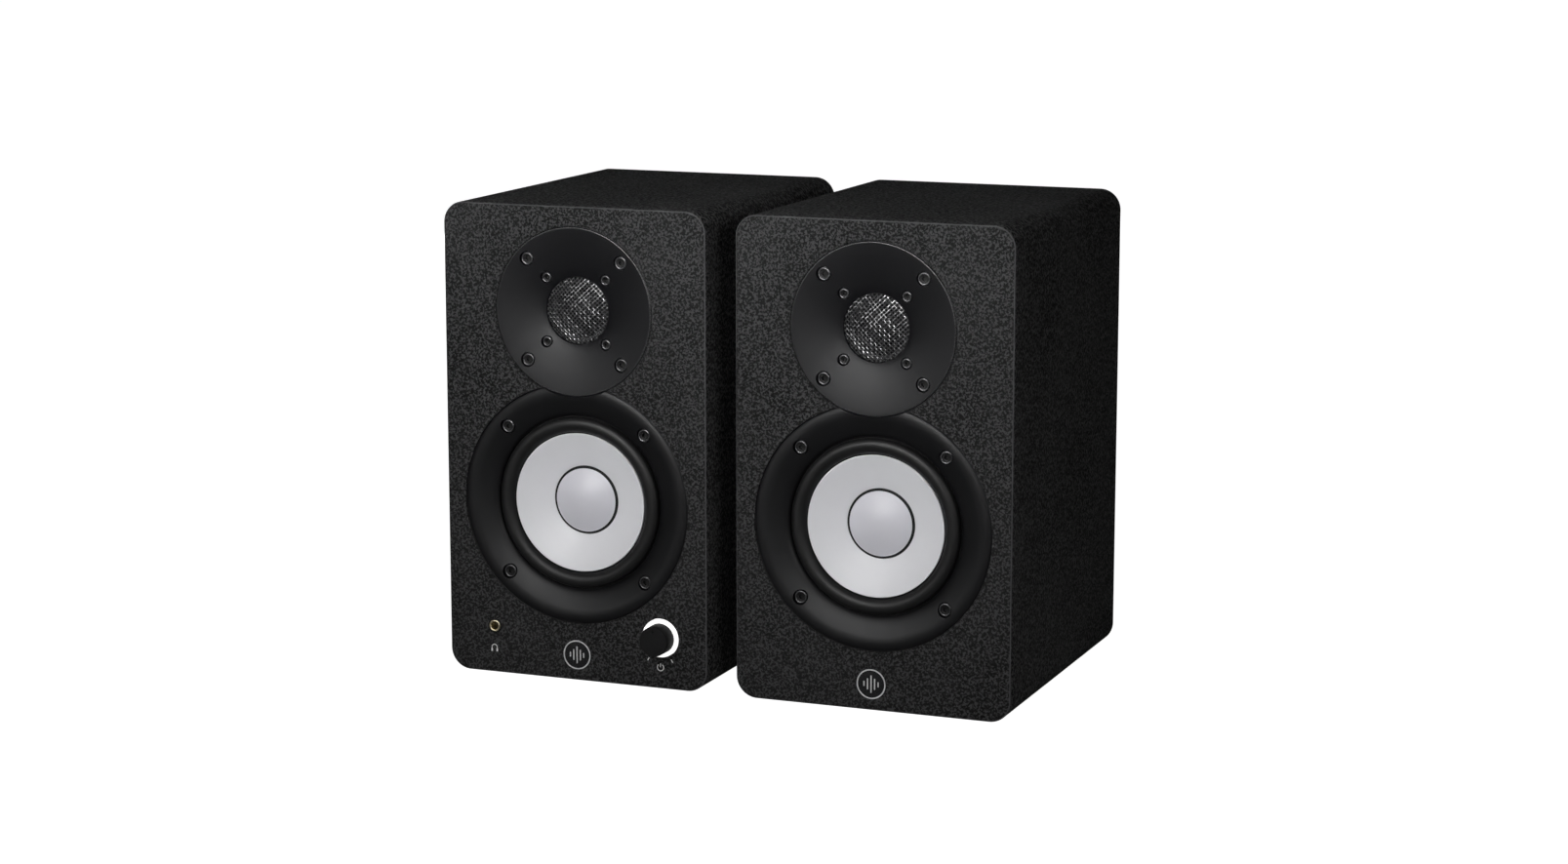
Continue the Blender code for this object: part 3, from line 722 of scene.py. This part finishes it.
def add_tweeter(side):
    t = TWEETER[side]
    rim = eased([(39.5, 0.4), (39.5, 0.12), (39.05, -0.30), (38.6, -0.28)], 0.15, 3, False)
    dish = spline(
        [(38.3, -0.25), (36.0, 0.02), (32.0, 0.62), (28.0, 1.32), (24.0, 2.12), (20.5, 2.95),
         (17.6, 3.8), (15.9, 4.5)], 5,
    )
    rest = eased(
        [(15.55, 5.0), (15.55, 6.0), (16.3, 6.6), (16.3, 9.5), (28.6, 9.5), (28.6, 4.0),
         (39.5, 4.0)], 0.3, 3, False,
    )
    flange = lathe(side + "_flange", rim + dish + rest, FLANGE, t, 144)
    cutters = []
    for x, z in square(FLANGE_SQUARE):
        bores = [(3.45, AHEAD, 2.8), (SHANK_BORE, 2.8, 6)]
        cutters.append(plug(bores, offset(t, x, 0, z), 40))
    for x, z in square(INNER_SQUARE):
        cutters.append(plug([(2.8, AHEAD, 5.0)], offset(t, x, 0, z), 36))
    apply_cuts(flange, cutters)
    # The rim's rounded edge is glossier than the rest, and its lighter colour is a painted
    # highlight.
    flange.data.materials.append(FLANGE_RIM_HIGHLIGHT)
    for polygon in flange.data.polygons:
        reach = math.hypot(polygon.center.x, polygon.center.z) / MM
        if reach > FLANGE_R - 1 and polygon.center.y < 0.3 * MM:
            polygon.material_index = 1
    added(flange, "satin_black", side + "_speaker", side + "_tweeter_flange")
    add_screws(side, "tweeter", FLANGE_SQUARE, t, 2.95, 0.75, 2.5)
    for k, (x, z) in enumerate(square(INNER_SQUARE)):
        name = "%s_flange_small_bolt_%d" % (side, k + 1)
        small = make(name, screw_mesh(2.35, 3.0, 4.95, 1.0), SCREW, offset(t, x, 0, z))
        # The second material paints shade into the screw's socket and dished face.
        small.data.materials.append(BLACK_AND_PAINTED_SHADE)
        added(small, "screw_black", side + "_speaker")


def add_dome(side):
    """Silk dome with its rolled edge."""
    dome = [(0, 7.35)]
    for k in range(1, 11):
        r = 9.3 * math.sin(math.pi / 2 * k / 10)
        dome.append((r, 10.3 - 2.95 * math.sqrt(max(0.0, 1 - (r / 9.45) ** 2))))
    edge = [(9.6, 10.2), (10.3, 9.8), (11.0, 9.75), (11.7, 10.1), (12.8, 10.3), (12.8, 10.8)]
    under = [(11.6, 10.7), (10.6, 10.35), (9.6, 10.75)]
    under += [(r * 0.96, y + 0.45) for r, y in dome[-2::-1]]
    silk = lathe(side + "_silk_dome", dome + edge + under, SILK, TWEETER[side], 64)
    added(silk, "dome_silk", side + "_tweeter_dome", side + "_tweeter_dome")


def add_grille(side):
    """Woven wire dome: two families of wires at 45 degrees that pass over and under."""
    t = TWEETER[side]
    base_r, base_y, rise = 15.45, 5.3, 3.5
    pitch, wire, weave = 1.5, 0.20, 0.15
    sphere = (base_r**2 + rise**2) / (2 * rise)
    bm = bmesh.new()

    def surface(u, v, lift):
        r2 = u * u + v * v
        y = base_y - rise + sphere - math.sqrt(sphere**2 - r2)
        normal = Vector((u / sphere, -math.sqrt(max(0.0, 1 - r2 / sphere**2)), v / sphere))
        return Vector((u, y, v)) + normal * lift

    count = int(base_r / pitch)
    diagonal = math.sqrt(0.5)
    for family in (0, 1):
        for i in range(-count, count + 1):
            across = i * pitch
            half = math.sqrt(max(0.0, (base_r - 0.12) ** 2 - across**2))
            if half < 1.0:
                continue
            points = []
            steps = max(4, int(2 * half / (pitch / 4)))
            for k in range(steps + 1):
                along = -half + 2 * half * k / steps
                phase = math.cos(math.pi * along / pitch) * (1 if i % 2 == 0 else -1)
                lift = weave * phase * (1 if family == 0 else -1)
                a, b = (along, across) if family == 0 else (across, along)
                points.append(surface(diagonal * (a - b), diagonal * (a + b), lift))
            tube_path(bm, points, wire, 5)
    mesh = make(side + "_woven_grille", bm, WIRE, t, 60)
    added(mesh, "grille_mesh", side + "_speaker", side + "_tweeter_grille")
    band = lathe(side + "_grille_band", sleeve(14.9, 15.5, 5.5, 8.8), BLACK_AND_PAINTED_SHADE, t, 96)
    added(band, "grille_mesh", side + "_speaker")


# ---------------------------------------------------------------- badge and front controls


def add_badge(side):
    """A plain disc with a ring and five bars of different heights, like a level meter."""
    b, body = BADGE[side], side + "_speaker"
    front, back = -0.12, 0.06
    outline = eased([(0, 0.02), (7.0, 0.02), (7.05, 0.9), (0, 0.9)], 0.15, 3, False)
    disc = lathe(side + "_badge_disc", outline, BADGE_BLACK, b, 72)
    added(disc, "badge", body, side + "_badge")
    ring = lathe(side + "_badge_ring", sleeve(6.35, 6.95, front, back, 0.06), SILVER, b, 96)
    added(ring, "badge", body)
    bm = bmesh.new()
    for x, height in ((-3.4, 2.4), (-1.7, 5.2), (0.0, 8.2), (1.7, 5.2), (3.4, 2.4)):
        merge_into(bm, loft_mesh(block_sections(0.62, height, front, back, 0.3, 0.05, 0, 5, 2)), x)
    added(make(side + "_badge_bars", bm, SILVER, b), "badge", body)


def add_knob():
    """Volume knob with a dimple for a pointer, and the lit ring round it."""
    front, shaft = -8.0, 3.0
    outline = eased(
        [(0, front), (6.72, front), (6.98, front + 0.28), (KNOB_R, -0.6), (KNOB_R, 1.5),
         (shaft, 1.5), (shaft, 20.0), (0, 20.0)], 0.12, 4, False,
    )
    knob = lathe("left_knob", outline, KNOB_BLACK, KNOB, 128)
    apply_cuts(knob, [plug([(0.62, front - 1, front + 0.55)], offset(KNOB, 0, 0, 4.7), 32)])
    added(knob, "knob_black", "left_volume_knob", "left_volume_knob")
    inside = KNOB_R + 0.07
    outline = [(inside, -0.30), (8.85, -0.30), (RING_R, 0.1), (RING_R, 8.0), (inside, 8.0)]
    ring = lathe("left_lit_ring", eased(outline, 0.2), LIGHT, KNOB, 128)
    added(ring, "light_pipe", "left_speaker", "left_light_ring")


def add_jack():
    """3.5 mm jack: a plated bush with a rounded lip, a washer and a dark bottom."""
    bore, lip, lip_at, end = 1.85, 0.5, -0.45, 27.0
    outline = [(0, 19.0), (bore, 19.0), (bore, lip_at)]
    for k in range(1, 10):
        a = math.pi * k / 10
        outline.append((bore + lip * (1 - math.cos(a)), lip_at + lip_at * math.sin(a)))
    outline += eased([(2.85, lip_at), (2.9, 15.3), (6.0, 15.3), (6.0, end)], 0.2, 3, False)
    jack = lathe("left_jack", outline + [(0, end)], BRASS, JACK, 64)
    added(jack, "brass", "left_speaker", "left_headphone_jack")
    outline = eased([(2.95, -0.42), (3.45, -0.30), (3.5, 0.0), (2.95, 0.0)], 0.1)
    washer = lathe("left_jack_washer", outline, BLACK_AND_PAINTED_SHADE, JACK, 64)
    added(washer, "satin_black", "left_speaker")
    outline = [(0, 6.0), (bore - 0.01, 6.0), (bore - 0.01, 18.9), (0, 18.9)]
    core = lathe("left_jack_core", outline, BLACK_AND_PAINTED_SHADE, JACK, 48)
    added(core, "satin_black", "left_speaker")


def decal(name, bm, origin):
    added(make(name, bm, PRINT, origin, 0), "badge", "left_speaker")


def add_icons():
    """Printed symbols: headphones, power and the two ends of the volume scale."""
    lift = -0.03
    bm = bmesh.new()
    arc = [
        (1.35 * math.cos(math.radians(a)), lift, 0.55 + 1.35 * math.sin(math.radians(a)))
        for a in range(0, 181, 12)
    ]
    flat_line(bm, [(1.35, lift, -0.3)] + arc + [(-1.35, lift, -0.3)], 0.42)
    for x in (-1.35, 1.35):
        flat_line(bm, [(x, lift, -1.45), (x, lift, 0.0)], 0.8)
    decal("left_print_headphones", bm, offset(JACK, -0.5, 0, -11.1))
    bm = bmesh.new()
    arc = [
        (1.6 * math.sin(math.radians(a)), lift, 1.6 * math.cos(math.radians(a)))
        for a in range(34, 327, 12)
    ]
    flat_line(bm, arc, 0.36)
    flat_line(bm, [(0, lift, 0.1), (0, lift, 1.95)], 0.36)
    decal("left_print_power", bm, offset(KNOB, 0.14, 0, -13.85))
    bm = bmesh.new()
    for a in (-30, 30):
        s, c = math.sin(math.radians(a)), math.cos(math.radians(a))
        flat_line(bm, [(11.1 * s, lift, -11.1 * c), (12.7 * s, lift, -12.7 * c)], 0.42)
    decal("left_print_scale", bm, KNOB)


def flat_line(bm, points, width):
    """A flat printed stroke along points, a hair thick."""
    pts = [Vector(p) for p in points]
    left, right = [], []
    for i, p in enumerate(pts):
        t = (pts[min(i + 1, len(pts) - 1)] - pts[max(i - 1, 0)]).normalized()
        side = t.cross(Vector((0, 1, 0))).normalized() * (width / 2)
        left.append(p + side)
        right.append(p - side)
    outline = left + right[::-1]
    front = [bm.verts.new(p) for p in outline]
    back = [bm.verts.new(p + Vector((0, 0.03, 0))) for p in outline]
    n = len(pts)
    for row, flip in ((front, False), (back, True)):
        for i in range(n - 1):
            quad = (row[i], row[i + 1], row[2 * n - 2 - i], row[2 * n - 1 - i])
            bm.faces.new(quad[::-1] if flip else quad)
    for i in range(2 * n):
        m = (i + 1) % (2 * n)
        bm.faces.new((front[i], back[i], back[m], front[m]))


# ---------------------------------------------------------------- rear


def add_port(side):
    r, d = PORT_R, DEPTH
    profile = (
        [(r, d - 62)]
        + spline([(r, d - 14), (r + 0.3, d - 7), (r + 1.3, d - 2.6), (r + 3.6, d + 0.6),
                  (r + 7.2, d + 2.3)], 6)
        + eased([(r + 8.6, d + 2.5), (r + 10.6, d + 2.4), (r + 11.0, d + 1.6), (r + 11.0, d + 0.05),
                 (r + 2.0, d + 0.05), (r + 2.0, d - 62)], 0.25, 3, False)
    )
    tube = lathe(side + "_port", profile, MOULDED, PORT[side], 96)
    added(tube, "satin_black", side + "_speaker", side + "_port_tube")


def cross_screw(name, origin, face, radius, body):
    """Domed head with a cross recess, on a surface at y = face."""
    dome = [(0, face + 0.42 * radius)]
    for k in range(1, 9):
        a = math.pi / 2 * k / 8
        dome.append((radius * math.sin(a), face + 0.12 * radius + 0.30 * radius * math.cos(a)))
    profile = dome + [(radius, face + 0.02), (radius * 0.5, face - 2.0), (0, face - 2.0)]
    head = lathe(name, profile, SCREW, origin, 32)
    cutters = []
    for w, h in ((radius * 1.15, radius * 0.26), (radius * 0.26, radius * 1.15)):
        sections = block_sections(w, h, face + 0.16 * radius, face + radius, radius * 0.1)
        cutters.append(make("cutter", loft_mesh(sections), None, origin, 0))
    apply_cuts(head, cutters)
    added(head, "screw_black", body)


def add_link_socket(side, face):
    """Two-pole socket: a hooded body with a keyed pocket, four contacts and two screws."""
    at = axis_point(side + "_link_socket")
    back = back_of(side + "_link_socket")
    body = block(side + "_link_hood", 24, 14, SOCKET_FRONT, back, MOULDED, at, 1.4, 0, 0.5)
    flange = block("cutter", 31, 21, face + 0.3, face + 2.3, None, at, 2.6, 0, 0.5)
    apply_cuts(body, [flange], "UNION")
    cutters = [cutter(20, 10, back - 12, back + 3, 1.0, at)]
    cutters.append(cutter(4.0, 2.2, back - 3.0, back + 3, 0.5, offset(at, 0, 0, 5.4)))
    apply_cuts(body, cutters)
    added(body, "satin_black", side + "_speaker", side + "_link_socket")
    bm = bmesh.new()
    for x in (-6.6, -2.2, 2.2, 6.6):
        blade = loft_mesh(block_sections(1.5, 5.2, back - 12.4, back - 3.4, 0.5, 0, 0.4))
        merge_into(bm, blade, x)
    added(make(side + "_link_contacts", bm, NICKEL, at), "steel", side + "_speaker")
    for k, x in enumerate((-13.7, 13.7)):
        cross_screw(
            "%s_link_fixing_%d" % (side, k + 1), offset(at, x, 0, 0), face + 2.3, 1.35,
            side + "_speaker",
        )


def add_rear_panel():
    """Plate with openings for the sockets, and a recess round each switch."""
    at = axis_point("left_rear_panel")
    panel = block("left_panel", 104, 108, DEPTH + 0.3, PANEL_BACK, PANEL, at, 5.0, 0, 0.6)
    cutters = [
        cutter(width, height, REAR_NEAR, REAR_FAR, 1.3, axis_point(node))
        for node, width, height in (
            ("left_mains_inlet", 26.6, 18.6), ("left_link_socket", 24.6, 14.6),
            ("left_input_sockets", 76.6, 26.6),
        )
    ]
    for node in SWITCHES:
        point = axis_point(node)
        cutters.append(cutter(8.4, 4.4, REAR_NEAR, REAR_FAR, 0.6, point))
        cutters.append(cutter(12.4, 7.6, PANEL_BACK - 0.5, REAR_FAR, 1.4, point))
    apply_cuts(panel, cutters)
    added(panel, "panel", "left_speaker", "left_rear_panel")
    places = [(x, z) for z in (49, 0, -49) for x in (-47, 47)]
    for k, (x, z) in enumerate(places):
        name = "left_panel_fixing_%d" % (k + 1)
        cross_screw(name, offset(at, x, 0, z), PANEL_BACK, 2.5, "left_speaker")


def add_inlet():
    """Two-pole mains inlet: a flanged body with a pocket, two pins and two screws."""
    at, body, back = axis_point("left_mains_inlet"), "left_speaker", PANEL_BACK
    rim = block("left_inlet_rim", 34, 25, back + 0.3, back + 3.0, MOULDED, at, 3.0, 0, 0.6)
    apply_cuts(rim, [cutter(26, 18, SOCKET_FRONT, back + 1, 1.0, at)], "UNION")
    apply_cuts(rim, [cutter(18, 10, back - 11, back + 9, 4.6, at)])
    added(rim, "satin_black", body, "left_mains_inlet")
    radius, foot = 1.2, back - 11.4
    outline = [(0, back - 1.2), (0.75, back - 1.4), (1.15, back - 1.9), (radius, back - 3.0),
               (radius, foot), (0, foot)]
    for k, x in enumerate((-4.3, 4.3)):
        pin = lathe("left_inlet_pin_%d" % (k + 1), outline, NICKEL, offset(at, x, 0, 0), 32)
        added(pin, "steel", body)
    for k, x in enumerate((-13.4, 13.4)):
        name = "left_inlet_fixing_%d" % (k + 1)
        cross_screw(name, offset(at, x, 0, 0), back + 3.0, 1.7, body)


def add_inputs():
    """Plate with two combination jacks, two phono jacks between them, and four screws."""
    at, body = axis_point("left_input_sockets"), "left_speaker"
    face = PANEL_BACK + 2.4
    combos, phonos = (-27, 27), ((8, WHITE), (-8, RED))
    plate = block("left_input_plate", 84, 33, PANEL_BACK + 0.3, face, MOULDED, at, 3.4, 0, 0.5)
    apply_cuts(plate, [cutter(76, 26, SOCKET_FRONT, PANEL_BACK + 1, 1.0, at)], "UNION")
    bores = [(3.3, face - 20, face - 2.5), (9.5, face - 2.5, face + 5)]
    cutters = [plug(bores, offset(at, x, 0, 0), 64) for x in combos]
    for z in (-8, 8):
        cutters.append(plug([(1.75, face - 5, face + 5)], offset(at, 0, 0, z), 32))
    apply_cuts(plate, cutters)
    added(plate, "satin_black", body, "left_input_sockets")
    for k, x in enumerate(combos):
        add_combination_jack("left_combo_%d_" % (k + 1), offset(at, x, 0, 0), face, body)
    for k, (z, insert) in enumerate(phonos):
        name, spot = "left_phono_%d_" % (k + 1), offset(at, 0, 0, z)
        for part, outline, material, slot in (
            ("shell", sleeve(3.3, 4.15, face - 0.5, 177, 0.2), NICKEL, "steel"),
            ("insert", sleeve(1.7, 3.28, face - 0.5, 176.2, 0.2), insert, "satin_black"),
            ("collar", sleeve(4.3, 6.1, face - 0.1, face + 0.9), insert, "satin_black"),
        ):
            added(lathe(name + part, outline, material, spot, 64), slot, body)
    for k, (x, z) in enumerate(square(1)):
        name = "left_input_fixing_%d" % (k + 1)
        cross_screw(name, offset(at, 39 * x, 0, 13.4 * z), face, 1.5, body)


def add_combination_jack(name, at, face, body):
    """Bezel, plated bushing, three contacts round it and a latch."""
    outline = sleeve(9.45, 10.9, face - 0.2, face + 0.7, 0.3)
    added(lathe(name + "bezel", outline, MOULDED, at, 96), "satin_black", body)
    outline = sleeve(3.25, 4.6, face - 2.9, face - 1.2, 0.3)
    added(lathe(name + "bushing", outline, NICKEL, at, 64), "steel", body)
    outline = sleeve(0.75, 1.35, face - 2.9, face - 2.0, 0.12)
    for k, turn in enumerate((90, 210, 330)):
        a = math.radians(turn)
        point = offset(at, 6.9 * math.cos(a), 0, 6.9 * math.sin(a))
        added(lathe(name + "contact_%d" % (k + 1), outline, BRASS, point, 32), "brass", body)
    latch = block(name + "latch", 5.4, 2.6, face - 2.6, face + 1.0, KNOB_BLACK,
                  offset(at, 0, 0, -8.0), 0.6, 0, 0.4)
    added(latch, "satin_black", body)


def add_switches():
    """Ridged levers, which ride on their own bodies, and a printed tick for each position."""
    ticks_at = PANEL_BACK + 0.03
    for node in SWITCHES:
        point, tip = axis_point(node), back_of(node)
        name = node.replace("_switch", "")
        lever = block(name + "_lever", 3.2, 3.6, 155.3, tip, KNOB_BLACK, point, 0.5, 0, 0.3)
        grooves = [cutter(0.45, 5, tip - 0.5, tip + 1, 0.1, offset(point, x, 0, 0))
                   for x in (-0.9, 0, 0.9)]
        apply_cuts(lever, grooves)
        added(lever, "knob_black", node, node)
        bm = bmesh.new()
        for x in (-2.6, 0, 2.6):
            flat_line(bm, [(x, ticks_at, 5.2), (x, ticks_at, 6.8)], 0.45)
        decal(name.replace("left_", "left_print_") + "_positions", bm, point)


# The plain pieces inside the cabinets keep their CAD shape, and take these materials.
INNER_MATERIALS = (
    ("left_woofer_magnet", FERRITE), ("left_tweeter_magnet", FERRITE),
    ("right_woofer_magnet", FERRITE), ("right_tweeter_magnet", FERRITE),
    ("left_volume_pot", STEEL), ("left_amplifier_board", GREEN), ("left_transformer", STEEL),
    ("right_crossover_board", GREEN),
)


def finish_inner_pieces():
    for node, material in INNER_MATERIALS:
        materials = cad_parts[node].data.materials
        materials.clear()
        materials.append(material)


# ---------------------------------------------------------------- stage, lights, camera


GLOW = 0.0045
# Name, place, aim, size, watts, and spread in degrees. The narrow beam lights the fronts' upper
# halves, and the two low lamps behind light the backs.
LAMPS = (
    ("near_front", (-0.08, -0.85, 0.42), (0, 0, 0.12), (0.7, 0.35), 2.10, 180),
    ("near_top", (-0.05, -0.75, 0.62), (0, 0, 0.12), (0.5, 0.3), 0.84, 180),
    ("front_top", (0.0, -1.15, 1.25), (0, 0, 0.12), (1.1, 0.6), 0.30, 180),
    ("front_mid", (-0.1, -1.9, 0.85), (0, 0, 0.12), (0.9, 0.6), 0.385, 180),
    ("front_left", (-0.95, -1.6, 0.38), (0, 0, 0.12), (0.6, 0.5), 2.0, 180),
    ("low_right", (0.9, -1.7, 0.35), (0, 0, 0.12), (0.7, 0.5), 0.11, 180),
    ("right", (1.55, -0.9, 0.7), (0, 0, 0.12), (0.5, 0.9), 0.50, 180),
    ("right_front", (0.9, -0.95, 0.5), (0, 0, 0.12), (0.4, 0.4), 1.75, 180),
    ("top", (0.0, 0.1, 1.6), (0, 0, 0.12), (1.2, 0.8), 0.095, 180),
    ("beam", (-0.10, -1.0, 0.45), (0.0, -0.09, 0.33), (0.5, 0.12), 0.43, 40),
    ("rear_left", (-0.9, 1.5, 0.10), (0, 0, 0.11), (0.5, 0.14), 2.6, 180),
    ("rear_mid", (-0.18, 1.9, 0.10), (0, 0, 0.11), (0.3, 0.14), 0.8, 180),
)


def add_stage():
    """Pale floor that the studio keeps bright, and that throws little light back."""
    bm = bmesh.new()
    bmesh.ops.create_grid(bm, x_segments=2, y_segments=2, size=25000)
    n = Nodes("floor", (0.30, 0.30, 0.30), 0.8, Specular_IOR_Level=0.1, Emission_Strength=1.02)
    n.shader.inputs["Emission Color"].default_value = (1.0, 1.0, 1.0, 1.0)
    n.set("Normal", n.bump(n.noise(40.0, 3.0, 0.5), 0.02, 0.5))
    dull = n.tree.nodes.new("ShaderNodeBsdfDiffuse")
    dull.inputs["Color"].default_value = (0.30, 0.30, 0.30, 1.0)
    seen = n.tree.nodes.new("ShaderNodeLightPath")
    mix = n.tree.nodes.new("ShaderNodeMixShader")
    n.link(seen.outputs["Is Camera Ray"], mix.inputs["Fac"])
    n.link(dull.outputs["BSDF"], mix.inputs[1])
    n.link(n.shader.outputs["BSDF"], mix.inputs[2])
    n.link(mix.outputs["Shader"], n.tree.nodes["Material Output"].inputs["Surface"])
    floor = make("floor", bm, n.done(), Vector((0, 0, -0.0002)), 0)


def area(name, at, target, size, power, spread):
    light = bpy.data.lights.new(name, "AREA")
    light.shape = "RECTANGLE"
    light.size, light.size_y = size
    light.energy = power
    light.spread = math.radians(spread)
    obj = bpy.data.objects.new(name, light)
    bpy.context.scene.collection.objects.link(obj)
    obj.location = at
    obj.rotation_mode = "QUATERNION"
    obj.rotation_quaternion = (Vector(target) - Vector(at)).to_track_quat("-Z", "Y")
    obj.visible_camera = False


def add_world():
    """White backdrop, and a weak glow from all round."""
    world = bpy.data.worlds.new("studio")
    world.use_nodes = True
    tree = world.node_tree
    glow = tree.nodes["Background"]
    glow.inputs["Color"].default_value = (1, 1, 1, 1)
    glow.inputs["Strength"].default_value = GLOW
    backdrop = tree.nodes.new("ShaderNodeBackground")
    backdrop.inputs["Strength"].default_value = 1.0
    backdrop.inputs["Color"].default_value = (1, 1, 1, 1)
    seen = tree.nodes.new("ShaderNodeLightPath")
    mix = tree.nodes.new("ShaderNodeMixShader")
    tree.links.new(seen.outputs["Is Camera Ray"], mix.inputs["Fac"])
    tree.links.new(glow.outputs["Background"], mix.inputs[1])
    tree.links.new(backdrop.outputs["Background"], mix.inputs[2])
    tree.links.new(mix.outputs["Shader"], tree.nodes["World Output"].inputs["Surface"])
    bpy.context.scene.world = world


def add_lights():
    add_world()
    for name, at, target, size, power, spread in LAMPS:
        area(name, at, target, size, power, spread)
    view = bpy.context.scene.view_settings
    view.view_transform = "Standard"
    view.look = "None"


def add_camera():
    """Long lens, to the right of the fronts and above them, looking down a little."""
    camera = bpy.data.cameras.new("camera")
    camera.sensor_width, camera.lens = 36.0, 76.27
    camera.clip_start, camera.clip_end = 0.05, 50.0
    obj = bpy.data.objects.new("camera", camera)
    bpy.context.scene.collection.objects.link(obj)
    obj.location = (0.5758, -1.4534, 0.3920)
    yaw, pitch = math.radians(21.711), math.radians(10.266)
    forward = Vector(
        (-math.sin(yaw) * math.cos(pitch), math.cos(yaw) * math.cos(pitch), -math.sin(pitch))
    )
    obj.rotation_mode = "QUATERNION"
    obj.rotation_quaternion = forward.to_track_quat("-Z", "Y")
    bpy.context.scene.camera = obj


# ---------------------------------------------------------------- everything

add_camera()
for each in SIDES:
    add_cabinet(each)
    add_baffle(each)
    add_woofer_frame(each)
    add_surround(each)
    add_cone(each)
    add_spider(each)
    add_tweeter(each)
    add_grille(each)
    add_dome(each)
    add_badge(each)
    add_port(each)
add_knob()
add_jack()
add_icons()
add_rear_panel()
add_inlet()
add_inputs()
add_switches()
add_link_socket("left", PANEL_BACK)
add_link_socket("right", DEPTH)
finish_inner_pieces()
add_stage()
add_lights()
